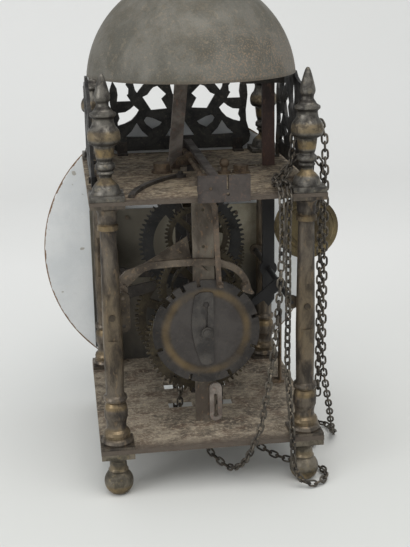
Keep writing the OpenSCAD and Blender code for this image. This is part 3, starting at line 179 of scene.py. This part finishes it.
def group_of(name, ins, outs):
    """A node group with the named inputs and outputs."""
    group = bpy.data.node_groups.new(name, "ShaderNodeTree")
    for label, kind, value in ins:
        socket = group.interface.new_socket(label, in_out="INPUT", socket_type="NodeSocket" + kind)
        if value is not None:
            socket.default_value = value
    for label, kind in outs:
        group.interface.new_socket(label, in_out="OUTPUT", socket_type="NodeSocket" + kind)
    return group, group.nodes.new("NodeGroupInput"), group.nodes.new("NodeGroupOutput")


def sums(tree, operation, *values):
    """One sum on values or on what other nodes give."""
    node = tree.nodes.new("ShaderNodeMath")
    node.operation = operation
    for i, value in enumerate(values):
        if isinstance(value, bpy.types.NodeSocket):
            tree.links.new(value, node.inputs[i])
        else:
            node.inputs[i].default_value = value
    return node.outputs[0]


def times(tree, first, second):
    return sums(tree, "MULTIPLY", first, second)


def plus(tree, first, second):
    return sums(tree, "ADD", first, second)


def between(tree, value, low, high):
    """Black at the low value and white at the high one, with a soft step between them."""
    node = put(tree, "MapRange", Value=value, From_Min=low, From_Max=high)
    node.interpolation_type = "SMOOTHSTEP"
    return node.outputs["Result"]


# Tarnish: broad clouds, small specks and a fine grain, for anything metal
tarnish, given, made = group_of(
    "tarnish", [("Vector", "Vector", None), ("Clouds", "Float", 60.0), ("Specks", "Float", 420.0)],
    [("Cloud", "Float"), ("Speck", "Float"), ("Grain", "Float"), ("Height", "Float")])
place, cloud_scale, speck_scale = (given.outputs[label] for label in ("Vector", "Clouds", "Specks"))
broad = put(tarnish, "TexNoise", Vector=place, Scale=cloud_scale, Detail=5.0, Roughness=0.62, Distortion=0.4)
small = put(tarnish, "TexNoise", Vector=place, Scale=speck_scale, Detail=3.0, Roughness=0.6)
fine = put(tarnish, "TexNoise", Vector=place, Scale=1600.0, Detail=2.0)
cloud = between(tarnish, broad.outputs["Fac"], 0.36, 0.66)
speck = between(tarnish, small.outputs["Fac"], 0.56, 0.68)
dented = plus(tarnish, times(tarnish, speck, -0.35), times(tarnish, fine.outputs["Fac"], 0.3))
tarnish.links.new(cloud, made.inputs["Cloud"])
tarnish.links.new(speck, made.inputs["Speck"])
tarnish.links.new(fine.outputs["Fac"], made.inputs["Grain"])
tarnish.links.new(plus(tarnish, times(tarnish, cloud, 0.5), dented), made.inputs["Height"])


def old_metal(name, base, dark, light, clouds=60.0, specks=420.0, rough=(0.42, 0.68), metal=0.75,
              speck_part=0.5, bump=0.35, stretch=(1, 1, 1), finish=None):
    """A metal with a clouded skin; finish adds what only that piece has to its colour."""
    material = bpy.data.materials.new(name)
    material.use_nodes = True
    tree = material.node_tree
    skin = tree.nodes["Principled BSDF"]
    place = put(tree, "TexCoord").outputs["Object"]
    worn = tree.nodes.new("ShaderNodeGroup")
    worn.node_tree = tarnish
    worn.inputs["Clouds"].default_value = clouds
    worn.inputs["Specks"].default_value = specks
    tree.links.new(put(tree, "Mapping", Vector=place, Scale=stretch).outputs["Vector"], worn.inputs["Vector"])
    colour = blend_of(tree, worn.outputs["Cloud"], shade(base), shade(dark))
    colour = blend_of(tree, times(tree, worn.outputs["Speck"], speck_part), colour, shade(light))
    grey = blend_of(tree, worn.outputs["Grain"], (0, 0, 0, 1), (1, 1, 1, 1))
    colour = blend_of(tree, 0.3, colour, grey, "SOFT_LIGHT")
    if finish:
        colour = finish(tree, place, colour, worn)
    tree.links.new(colour, skin.inputs["Base Color"])
    skin.inputs["Metallic"].default_value = metal
    duller = plus(tree, times(tree, worn.outputs["Cloud"], rough[1] - rough[0]), rough[0])
    tree.links.new(duller, skin.inputs["Roughness"])
    dents = put(tree, "Bump", Strength=bump, Distance=dent_depth, Height=worn.outputs["Height"])
    tree.links.new(dents.outputs["Normal"], skin.inputs["Normal"])
    return material


def dress(material, *names):
    """Puts a material on CAD nodes."""
    for name in names:
        nodes[name].data.materials.clear()
        nodes[name].data.materials.append(material)


def stained(tree, colour, mask, strength, stain):
    """Lays a stain over a colour where the mask is white."""
    return blend_of(tree, times(tree, mask, strength), colour, shade(stain))


def blotches(tree, place, scale, detail, low, high, roughness=0.5):
    """A mask of blotches, closer together at a larger scale."""
    noise = put(tree, "TexNoise", Vector=place, Scale=scale, Detail=detail, Roughness=roughness)
    return between(tree, noise.outputs["Fac"], low, high)


def axis_of(tree, place, letter):
    """How far along X, Y or Z a spot lies."""
    return put(tree, "SeparateXYZ", Vector=place).outputs[letter]


def rust_dust_and_edge_shade(tree, place, colour, worn):
    """Both plates are blotched with soot, rust and dust, with painted shade darkening them towards their back
    edge and on the edge face.
    """
    colour = stained(tree, colour, blotches(tree, place, 30.0, 5.0, 0.46, 0.62, 0.7), 0.7, "#332b24")
    colour = stained(tree, colour, blotches(tree, place, 75.0, 4.0, 0.5, 0.64, 0.7), 0.6, "#4f3a2c")
    moved = put(tree, "Mapping", Vector=place, Location=(0.3, 0.1, 0)).outputs["Vector"]
    colour = stained(tree, colour, blotches(tree, moved, 330.0, 3.0, 0.48, 0.66, 0.7), 0.6, "#a89a84")
    # Painted shade: a band that darkens towards the back edge, and the back edge face painted darker still.
    y = axis_of(tree, place, "Y")
    colour = stained(tree, colour, between(tree, y, plate_back - 0.014, plate_back), 0.85, "#483e35")
    edge = between(tree, y, plate_back - 0.0004, plate_back + 0.0001)
    return stained(tree, colour, edge, 0.75, "#4d443b")


base_skin = old_metal("base_skin", "#8f8473", "#63584b", "#b3a591", clouds=150, specks=800, rough=(0.7, 0.9),
                      metal=0.05, speck_part=0.6, bump=0.8, stretch=(0.8, 1, 1), finish=rust_dust_and_edge_shade)
deck_skin = old_metal("deck_skin", "#948670", "#54483b", "#a58b6a", clouds=190, specks=600,
                      rough=(0.65, 0.88), metal=0.1, speck_part=0.4, bump=1.0, stretch=(0.85, 1, 1),
                      finish=rust_dust_and_edge_shade)
dress(base_skin, "base_plate")
dress(deck_skin, "top_plate")


# Ball feet, pillars and finials are turned brass, one set at each corner, screwed on to
# each other through the plates. Handling has kept their proud rings golden, and more golden
# bands are painted highlight and, under the feet, painted reflection; the rest has gone a
# dull olive brown, and the finials' grooves are painted dark as shade.
def band(tree, value, middle, outer, inner):
    """White where a value is within inner of the middle, and black beyond outer."""
    off = sums(tree, "ABSOLUTE", sums(tree, "SUBTRACT", value, middle))
    return between(tree, off, outer, inner)


def rubbed_and_highlit_rings(*rings, shaded_grooves=()):
    """Golden rings, partly rubbed wear and partly painted highlight, each with its height in millimetres,
    half width and strength, and grooves darkened as painted shade.
    """
    def finish(tree, place, colour, worn):
        z = times(tree, axis_of(tree, place, "Z"), 1000.0)
        shown = None
        for height, half_width, strength in rings:
            ring = times(tree, band(tree, z, height, half_width, half_width * 0.4), strength)
            shown = ring if shown is None else sums(tree, "MAXIMUM", shown, ring)
        unclouded = sums(tree, "SUBTRACT", 1.0, times(tree, worn.outputs["Cloud"], 0.7))
        colour = stained(tree, colour, shown, unclouded, "#877046")
        for height in shaded_grooves:
            # Painted shade: the finials' grooves, at the listed heights, are darkened where shade falls in
            # them.
            colour = stained(tree, colour, band(tree, z, height, 1.5, 0.3), 0.75, "#26221f")
        return colour
    return finish


# The broad band along the pillars' columns is painted highlight, and the lowest band of the feet is a painted
# reflection of the floor; the narrower rings are rubbed wear, brightened further as painted highlight.
pillar_rings = rubbed_and_highlit_rings((46, 5, 0.35), (66, 4, 0.5), (120, 46, 0.2), (189, 3, 0.5))
foot_rings = rubbed_and_highlit_rings((3, 6, 0.7), (20, 3, 0.3))
finial_rings = rubbed_and_highlit_rings((237, 4, 0.7), (248, 4, 0.45), (219, 3, 0.6),
                            shaded_grooves=(222.5, 226.2, 232.5, 243, 259, 264.8, 268.5))
pillar_brass = old_metal("turned_brass", "#665d52", "#393430", "#806e58", clouds=120, specks=260,
                         rough=(0.38, 0.6), speck_part=0.45, bump=0.5, stretch=(1, 1, 0.4),
                         finish=pillar_rings)
foot_brass = old_metal("foot_brass", "#746c5f", "#474239", "#8b7b5a", clouds=110, specks=300,
                       rough=(0.38, 0.6), speck_part=0.3, finish=foot_rings)
dress(pillar_brass, *[name for name in nodes if name.startswith("pillar")])
dress(foot_brass, *[name for name in nodes if name.startswith("foot")])
finial_brass = old_metal("finial_brass", "#66625b", "#3a3734", "#7c7362", clouds=170, specks=300,
                         rough=(0.4, 0.62), speck_part=0.45, bump=0.7, finish=finial_rings)

# A finial's outline, each point its radius and its height over the deck in millimetres
pad_side, pad_height, pad_bevel = 0.0224, 0.0037, 0.0004
turning = [
    (0, 3.6), (9.6, 3.6), (9.6, 4.4), (9, 5.8), (8.6, 7.2), (8.2, 8.4), (7.2, 9.6), (6, 11),
    (4.6, 12.2), (3.9, 13.4), (3.9, 14.8), (4.3, 15.8), (5.3, 16.4), (5.5, 17.1), (5.2, 17.8),
    (4.9, 18.3), (5.4, 18.9), (6.2, 19.4), (6.4, 20.4), (6.3, 22), (5.9, 22.9), (5, 23.6), (4.9, 24.4),
    (5.3, 25.4), (5.7, 27), (6, 29), (6.3, 31.5), (6.5, 33.4), (6.6, 34.2), (7.6, 34.6), (9, 35.3),
    (10, 36.6), (10.4, 38.2), (10.5, 40), (10.3, 41.8), (9.8, 43.4), (8.9, 44.9), (7.8, 46.2),
    (7.2, 47.6), (6.8, 49.4), (6.7, 51), (7, 51.8), (7.8, 52.4), (8.3, 53), (8.4, 53.8), (8.2, 54.6),
    (7.2, 55.2), (6, 56), (5.3, 57.2), (4.6, 58.2), (4.1, 59), (4, 60.4), (4.2, 61.4), (4.8, 62.6),
    (5.1, 64), (5, 65.6), (4.5, 67.6), (3.9, 70), (3.2, 72.6), (2.4, 75.4), (1.6, 77.6), (0.9, 78.7),
    (0, 79)]
sharp_angle = 0.45
weld = 0.00002
for name in [name for name in nodes if name.startswith("finial")]:
    low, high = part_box(name)
    stand = Vector(((low[0] + high[0]) / 2, (low[1] + high[1]) / 2, low[2]))
    turned = bmesh.new()
    outline = [turned.verts.new((r / 1000, 0, z / 1000)) for r, z in turning]
    edges = [turned.edges.new(pair) for pair in zip(outline, outline[1:])]
    bmesh.ops.spin(turned, geom=edges, cent=(0, 0, 0), axis=(0, 0, 1), angle=2 * pi, steps=56,
                   use_merge=True)
    bmesh.ops.remove_doubles(turned, verts=turned.verts, dist=weld)
    bmesh.ops.recalc_face_normals(turned, faces=turned.faces)
    pad = bmesh.ops.create_cube(turned, size=1)["verts"]
    bmesh.ops.scale(turned, vec=(pad_side, pad_side, pad_height), verts=pad)
    bmesh.ops.translate(turned, vec=(0, 0, pad_height / 2), verts=pad)
    pad_edges = [edge for edge in turned.edges if edge.verts[0] in pad]
    bmesh.ops.bevel(turned, geom=pad_edges, offset=pad_bevel, segments=2, profile=0.5, affect="EDGES",
                    material=-1)
    for face in turned.faces:
        face.smooth = True
    for edge in turned.edges:
        edge.smooth = len(edge.link_faces) == 2 and edge.calc_face_angle() < sharp_angle
    bmesh.ops.translate(turned, vec=stand, verts=turned.verts)
    finial = piece_of(turned, name + "_turned")
    finial.data.materials.append(finial_brass)
    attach(finial, "frame")
    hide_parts(name)

# The three upright bars carry the wheels. They are forged iron, held to the plates by
# tenons with wedges through them, and the cocks and lugs are riveted on. The anchor's
# arbor, the hammer's spring and the nuts on the deck have rusted to tan.
dark_iron = old_metal("dark_iron", "#413c37", "#2c2825", "#5a4d40", rough=(0.5, 0.75), metal=0.45)
rusty_iron = old_metal("rusty_iron", "#786f62", "#4f463d", "#8d6f54", rough=(0.55, 0.8), metal=0.3,
                       stretch=(1, 1, 0.5))
tan_rust = old_metal("tan_rust", "#6b5b49", "#43362b", "#8f7355", clouds=130, rough=(0.6, 0.85), metal=0.2)
lug_brass = old_metal("lug_brass", "#4a4033", "#332c24", "#6a5a41", rough=(0.45, 0.7), metal=0.5)
strap_iron = old_metal("strap_iron", "#928980", "#675d55", "#8f6d5d", rough=(0.55, 0.8), metal=0.3)
cock_iron = old_metal("cock_iron", "#463f3b", "#322d2a", "#5f4c41", rough=(0.5, 0.75), metal=0.35)
lever_iron = old_metal("lever_iron", "#675c4f", "#463d34", "#8a755c", rough=(0.5, 0.75), metal=0.35)
dress(dark_iron, "front_bar", "middle_bar", "second_wheel_cock", "lifting_lever", "hammer_head",
      "stop_finger", "fret_screws")
dress(rusty_iron, "back_bar", "bar_wedges")
dress(tan_rust, "anchor", "hammer_spring", "nuts")
dress(lug_brass, "arbor_lugs")
dress(strap_iron, "bell_strap", "bar_hasp")
dress(cock_iron, "back_cock")
dress(lever_iron, "count_detent", "locking_blade")

# The wheels are brass on iron arbors, hand cut and crossed out with four arms. The escape
# wheel has gone nearly black, and the crutch that its anchor swings is a rusty brown.
wheel_brass = old_metal("wheel_brass", "#4d4536", "#352f27", "#6d5f42", clouds=80, rough=(0.42, 0.65),
                        metal=0.6, speck_part=0.35)
dress(wheel_brass, "going_great_wheel", "going_pulley", "second_wheel", "strike_great_wheel", "strike_pulley",
      "hoop_wheel", "warning_wheel", "fly", "hour_wheel")
dress(old_metal("slate_iron", "#373635", "#262625", "#4b443b", metal=0.45), "escape_wheel")
dress(old_metal("crutch_iron", "#675a4d", "#41372e", "#866b52", metal=0.4), "crutch")

# The count wheel turns on a stud at the back and counts the hours' strokes by its notches.
# It is a dark disc on which the locking arm has rubbed a golden ring, and a leaf of sprung
# iron, bowed on one side and slotted like a keyhole, holds it on the stud.
count_wheel_height = 0.107
ring_radius = 0.0282
leaf_back, leaf_thickness = 0.06178, 0.0009
leaf_outline = [
    (-4.9, 27), (-4.9, 10), (-4.9, -20), (-4.2, -23), (0, -24), (3.8, -23.2), (5.8, -18.5), (8.4, -9),
    (9.8, -1), (10.2, 6), (9.8, 14), (8.8, 21), (7.6, 26.4), (4, 28.4), (-1, 28.6), (-4, 28)]
leaf_slot = [
    (-0.6, 3.2), (-0.9, 17.4), (-1.9, 19), (-1.8, 20.8), (-0.2, 22), (1.6, 21.6), (2.4, 20.2), (2, 18.8),
    (0.9, 17.6), (0.6, 3.2), (2, 2.4), (3, 0.6), (3, -1.2), (1.8, -2.7), (0, -3.1), (-1.8, -2.7), (-3, -1.2),
    (-3, 0.6), (-2, 2.4)]


def from_axis(tree, place, height):
    """How far a spot is from the line along Y at the given height."""
    spot = put(tree, "Mapping", Vector=place, Location=(0, 0, -height), Scale=(1, 0, 1))
    away = tree.nodes.new("ShaderNodeVectorMath")
    away.operation = "LENGTH"
    tree.links.new(spot.outputs["Vector"], away.inputs[0])
    return away.outputs["Value"]


def ring_of_wear(tree, place, colour, worn):
    """A patchy golden ring, and a greyer face inside it."""
    radius = from_axis(tree, place, count_wheel_height)
    patchy = blotches(tree, place, 38.0, 2.0, 0.3, 0.62)
    strength = plus(tree, 0.12, times(tree, patchy, 0.62))
    shown = times(tree, band(tree, radius, ring_radius, 0.0042, 0.0004), strength)
    colour = stained(tree, colour, between(tree, radius, 0.026, 0.024), 0.5, "#4c4744")
    return blend_of(tree, shown, colour, shade("#735f3f"))


dress(old_metal("count_skin", "#3f3b38", "#2d2a28", "#54493a", clouds=70, metal=0.5, speck_part=0.3,
                finish=ring_of_wear), "count_wheel")
grey_iron = old_metal("grey_iron", "#4b4743", "#34312f", "#5c5146", metal=0.45, speck_part=0.2)
dress(grey_iron, "count_wheel_stud")
leaf = bmesh.new()
for outline in (leaf_outline, leaf_slot):
    corners = [leaf.verts.new((x / 1000, leaf_back, count_wheel_height + z / 1000)) for x, z in outline]
    for i in range(len(corners)):
        leaf.edges.new((corners[i - 1], corners[i]))
bmesh.ops.triangle_fill(leaf, edges=leaf.edges[:], use_beauty=True)
thick = bmesh.ops.extrude_face_region(leaf, geom=leaf.faces[:])["geom"]
bmesh.ops.translate(leaf, vec=(0, leaf_thickness, 0), verts=points_in(thick))
bmesh.ops.recalc_face_normals(leaf, faces=leaf.faces)
leaf_piece = piece_of(leaf, "count_wheel_leaf")
leaf_piece.data.materials.append(grey_iron)
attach(leaf_piece, "frame")
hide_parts("count_wheel_spring")


# The hammer hangs on the right, under the bell's rim. Its stem is reddish brown where it
# stands above the deck; below the deck it is painted nearly black as shade.
brown_from, shade_below = 0.209, 0.203


def stem_shaded_below_deck(tree, place, colour, worn):
    # Painted shade: below the deck, under the plate, the stem is painted nearly black.
    below = between(tree, axis_of(tree, place, "Z"), brown_from, shade_below)
    return blend_of(tree, below, colour, shade("#2d2c2c"))


dress(old_metal("hammer_skin", "#4f3d37", "#352c29", "#6a4f41", metal=0.35, stretch=(1, 1, 0.4),
                finish=stem_shaded_below_deck), "hammer_stem")


# The bell is cast bronze, gone a dull grey, stained all over, pitted by its lower right
# side and dark along its rim. It sits on the iron strap that the bars' section paints.
bell_rim = 0.2778


def pitted_side(tree, place, colour, worn):
    """Dark stains, brown pits and a dark rim."""
    x, z = axis_of(tree, place, "X"), axis_of(tree, place, "Z")
    colour = stained(tree, colour, blotches(tree, place, 48.0, 6.0, 0.46, 0.64, 0.7), 0.5, "#4b463a")
    low_right = times(tree, between(tree, z, 0.318, 0.29), between(tree, x, 0.02, -0.03))
    pits = blotches(tree, place, 900.0, 2.0, 0.5, 0.62)
    colour = stained(tree, colour, pits, plus(tree, 0.12, times(tree, low_right, 0.5)), "#8a7560")
    return stained(tree, colour, between(tree, z, bell_rim + 0.0017, bell_rim), 0.5, "#4a4135")


dress(old_metal("bell_bronze", "#636058", "#525048", "#776e5f", clouds=34, specks=240, rough=(0.58, 0.72),
                metal=0.3, speck_part=0.45, bump=0.8, finish=pitted_side), "bell")

# Three pierced frets of cast brass stand on the deck, nearly black with age. The front one
# is dusty on its inner side.
dress(old_metal("fret_brass", "#292725", "#1d1c1c", "#40382f", metal=0.4), "left_fret", "right_fret")
dress(old_metal("dusty_fret", "#35332f", "#232221", "#5a5347", clouds=140, metal=0.3), "front_fret")

# The dial and the plate behind it are painted iron, the dial bluish white on both sides,
# with rust along its edge where the paint has chipped and brown feet that hold it to the
# plate. The plate is darker on its left half and low down.
dial_height = 0.128
dial_rim = 0.1101
dial_back = -0.0839


def chipped_edge(tree, place, colour, worn):
    """Chips in the paint, rust in a ragged line along the edge, and brown feet."""
    ragged = put(tree, "TexNoise", Vector=place, Scale=240.0, Detail=3.0)
    reach = plus(tree, from_axis(tree, place, dial_height), times(tree, ragged.outputs["Fac"], 0.0026))
    colour = stained(tree, colour, blotches(tree, place, 150.0, 1.0, 0.73, 0.76), 0.7, "#8f8676")
    colour = blend_of(tree, between(tree, reach, dial_rim, dial_rim + 0.0005), colour, shade("#6e5237"))
    feet = between(tree, axis_of(tree, place, "Y"), dial_back, dial_back + 0.0003)
    return blend_of(tree, feet, colour, shade("#54483a"))


def darker_left_and_low(tree, place, colour, worn):
    """Darker on the left half and low down."""
    left = times(tree, between(tree, axis_of(tree, place, "X"), -0.012, 0.02), 0.82)
    low = times(tree, between(tree, axis_of(tree, place, "Z"), 0.15, 0.09), 0.97)
    darker_tone = blend_of(tree, worn.outputs["Cloud"], shade("#403a31"), shade("#1c1a17"))
    return blend_of(tree, sums(tree, "MAXIMUM", left, low), colour, darker_tone)


dress(old_metal("front_paint", "#aaa38f", "#857d69", "#b5ae9a", clouds=22, metal=0.0, rough=(0.5, 0.7),
                speck_part=0.3, finish=darker_left_and_low), "front_plate")
dress(old_metal("dial_paint", "#d6d7d6", "#cbcdcd", "#bdb9ad", metal=0.0, clouds=25, rough=(0.3, 0.45),
                speck_part=0.1, bump=0.15, finish=chipped_edge), "dial")
dress(old_metal("blued_steel", "#26262a", "#1c1c1e", "#3a3530"), "hour_hand")

# The two chains are oval links of iron wire, brown with bright specks where they rub. Each
# goes over its pulley and out under the back edge, and its slack end lies over the deck and
# through the right fret, where the loose pulley of a lost weight hangs by a hook.
chain_iron = old_metal("chain_iron", "#5a544b", "#37332f", "#8a7a64", clouds=120, specks=500,
                       rough=(0.4, 0.6), metal=0.6)
dress(chain_iron, "weight_hook")
dress(old_metal("pulley_brass", "#6d6147", "#4f4534", "#87754c", clouds=60), "weight_pulley")

# Their courses are in millimetres from the middle of the frame, frame_back behind the origin
pulley_height = 89
pulley_run = 15
link_pitch = 0.0052


def over_pulley(y, way):
    """The half turn over a pulley, from one side to the other as way says."""
    turns = [pi * k / 8 for k in range(9)]
    return [(-way * pulley_run * cos(t), y, pulley_height + pulley_run * sin(t)) for t in turns]


courses = {
    "strike_chain": [
        (-15, 13.5, 13), (-15, 13.5, 45), (-15, 13.5, 75), *over_pulley(13.5, 1), (15, 13.5, 75),
        (15, 13.5, 45), (15, 14, 30), (11, 22, 20), (2, 40, 15.8), (-5, 51, 9.5), (-13.4, 61.4, 5.6),
        (-18.8, 75, 12.6), (-23, 87, 25), (-26, 91.6, 36), (-29, 92, 43), (-31.8, 92, 51), (-33.2, 92, 61),
        (-36, 92, 76), (-38.7, 92, 93), (-40.7, 92.5, 111), (-42, 93.5, 125), (-42.8, 95, 139),
        (-44, 95.5, 160), (-44.2, 95.5, 165.4)],
    "strike_chain_end": [
        (-44.2, 95.5, 165.4), (-44.6, 95.4, 180), (-44.6, 94.9, 194), (-44.8, 93, 204), (-44.9, 88.6, 210.6),
        (-45, 82, 213), (-45.2, 75, 211.6), (-45.6, 67, 210.3), (-47, 57, 210.1), (-50.5, 47, 210.1),
        (-56, 40.4, 212), (-60.6, 38.2, 216), (-64.3, 36.6, 220.4), (-68, 35.7, 223.2), (-72.5, 35.5, 224.3),
        (-77, 35.6, 223.2), (-80.8, 36.4, 220.4), (-83.7, 38, 215.6), (-84.8, 40.4, 207), (-83.6, 43.8, 196),
        (-82, 46.4, 184), (-81, 48, 170), (-80.9, 48.4, 150), (-80.9, 48.6, 120), (-80.7, 49, 90),
        (-80.4, 50, 64), (-80.2, 50.9, 48)],
    "going_chain": [
        (15, -22, 13), (15, -22, 45), (15, -22, 75), *over_pulley(-22, -1), (-15, -22, 75), (-15, -22, 45),
        (-15.4, -21, 29), (-19, -10, 19), (-25, 12, 15), (-31, 33, 13.5), (-40, 40, 9.5), (-49, 44.5, 4.5),
        (-57, 50.5, 3.2), (-66, 58, 3.2), (-75.6, 64, 3.2), (-80.4, 74.5, 3.2), (-76.8, 86, 3.2),
        (-67.6, 91.6, 3.2), (-59.6, 90.6, 6.8), (-55, 89.9, 15.6), (-53.8, 90, 27), (-53.4, 90, 38),
        (-52.4, 90, 52), (-50.9, 90, 70), (-49.7, 90, 87), (-49.4, 90, 103), (-49.4, 90, 108.4)],
    "going_chain_end": [
        (-49.4, 90, 108.4), (-49.8, 90, 122), (-49.8, 90, 140), (-49.8, 90, 158), (-49.8, 89.8, 178),
        (-50.2, 89.8, 194), (-50.6, 89.6, 203.6), (-50.8, 86.2, 210.2), (-50.8, 80, 213),
        (-50.8, 73.4, 211.8), (-51.6, 66, 210.4), (-53.6, 58.6, 210.3), (-56.6, 53, 213),
        (-59.6, 49.6, 220), (-61.2, 47.6, 229), (-61.9, 47, 239), (-63.6, 46.9, 244.6),
        (-66.8, 46.9, 249.4), (-72.5, 46.9, 251.5), (-78.2, 46.9, 249.4), (-81.4, 47, 244.6),
        (-83, 48, 238), (-82.8, 51.6, 225), (-82, 56.6, 208), (-81.2, 60, 190), (-81, 60.4, 165),
        (-80.9, 60.4, 140), (-80.9, 60, 115), (-81, 59.4, 92), (-82.2, 57.6, 75), (-85.8, 52.5, 57),
        (-90.8, 43, 37), (-95.6, 31, 18), (-99.8, 21, 7.4), (-102.6, 11, 3.6), (-101, 0, 3.2),
        (-93, -7, 3.2), (-83, -5, 3.2), (-77.6, 4, 3.2), (-79.6, 14, 3.2), (-83.6, 23, 3.2),
        (-80.4, 33, 3.2), (-71, 36, 3.2)],
}
link_counts = {"strike_chain": 80, "strike_chain_end": 58, "going_chain": 84, "going_chain_end": 104}
wire_radius, bend_radius, half_straight = 0.00075, 0.00188, 0.0015


def edges_in(made):
    return [part for part in made if isinstance(part, bmesh.types.BMEdge)]


# One link is six-sided wire: half of it is drawn out and bent, and mirrored to a whole one
half = bmesh.new()
upright = Matrix.Translation((0, bend_radius, 0)) @ Matrix.Rotation(pi / 2, 4, "Y")
bmesh.ops.create_circle(half, segments=6, radius=wire_radius, matrix=upright)
drawn = bmesh.ops.extrude_edge_only(half, edges=half.edges[:])["geom"]
bmesh.ops.translate(half, vec=(half_straight, 0, 0), verts=points_in(drawn))
bent = bmesh.ops.spin(
    half, geom=edges_in(drawn), cent=(half_straight, 0, 0), axis=(0, 0, 1), angle=-pi, steps=5)
drawn = bmesh.ops.extrude_edge_only(half, edges=edges_in(bent["geom_last"]))["geom"]
bmesh.ops.translate(half, vec=(-half_straight, 0, 0), verts=points_in(drawn))
bmesh.ops.mirror(half, geom=half.verts[:] + half.edges[:] + half.faces[:], axis="X", merge_dist=weld)
bmesh.ops.remove_doubles(half, verts=half.verts, dist=weld)
bmesh.ops.recalc_face_normals(half, faces=half.faces)
for face in half.faces:
    face.smooth = True
link_mesh = bpy.data.meshes.new("link")
half.to_mesh(link_mesh)
half.free()


def solid_links(name):
    """The middle of each link in a CAD chain, with its long way and its broad way."""
    mesh = nodes[name].data
    corners = np.empty(len(mesh.vertices) * 3)
    mesh.vertices.foreach_get("co", corners)
    found = []
    for link in corners.reshape(link_counts[name], -1, 3):
        middle = link.mean(0)
        ways = np.linalg.eigh(np.cov((link - middle).T))[1]
        found.append((Vector(middle), Vector(ways[:, 2]), Vector(ways[:, 1])))
    return found


# A CAD chain ends one or two links short of the node that goes on from it, and the links
# between them are added here, each turned a quarter from the last
links = {name: solid_links(name) for name in courses}
for first, second in (("strike_chain", "strike_chain_end"), ("going_chain", "going_chain_end")):
    start, _, across = links[first][-1]
    gap = links[second][0][0] - start
    missing = round(gap.length / link_pitch) - 1
    along = gap.normalized()
    for k in range(1, missing + 1):
        across = along.cross(across).normalized()
        links[first].append((start + gap * k / (missing + 1), along, across))

for name, points in courses.items():
    laid = bmesh.new()
    for middle, along, across in links[name]:
        copy = link_mesh.copy()
        lie = Matrix((along, across, along.cross(across))).transposed().to_4x4()
        copy.transform(Matrix.Translation(middle) @ lie)
        laid.from_mesh(copy)
        bpy.data.meshes.remove(copy)
    chain = piece_of(laid, name + "_links")
    chain.data.materials.append(chain_iron)
    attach(chain, "frame")
    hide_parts(name)
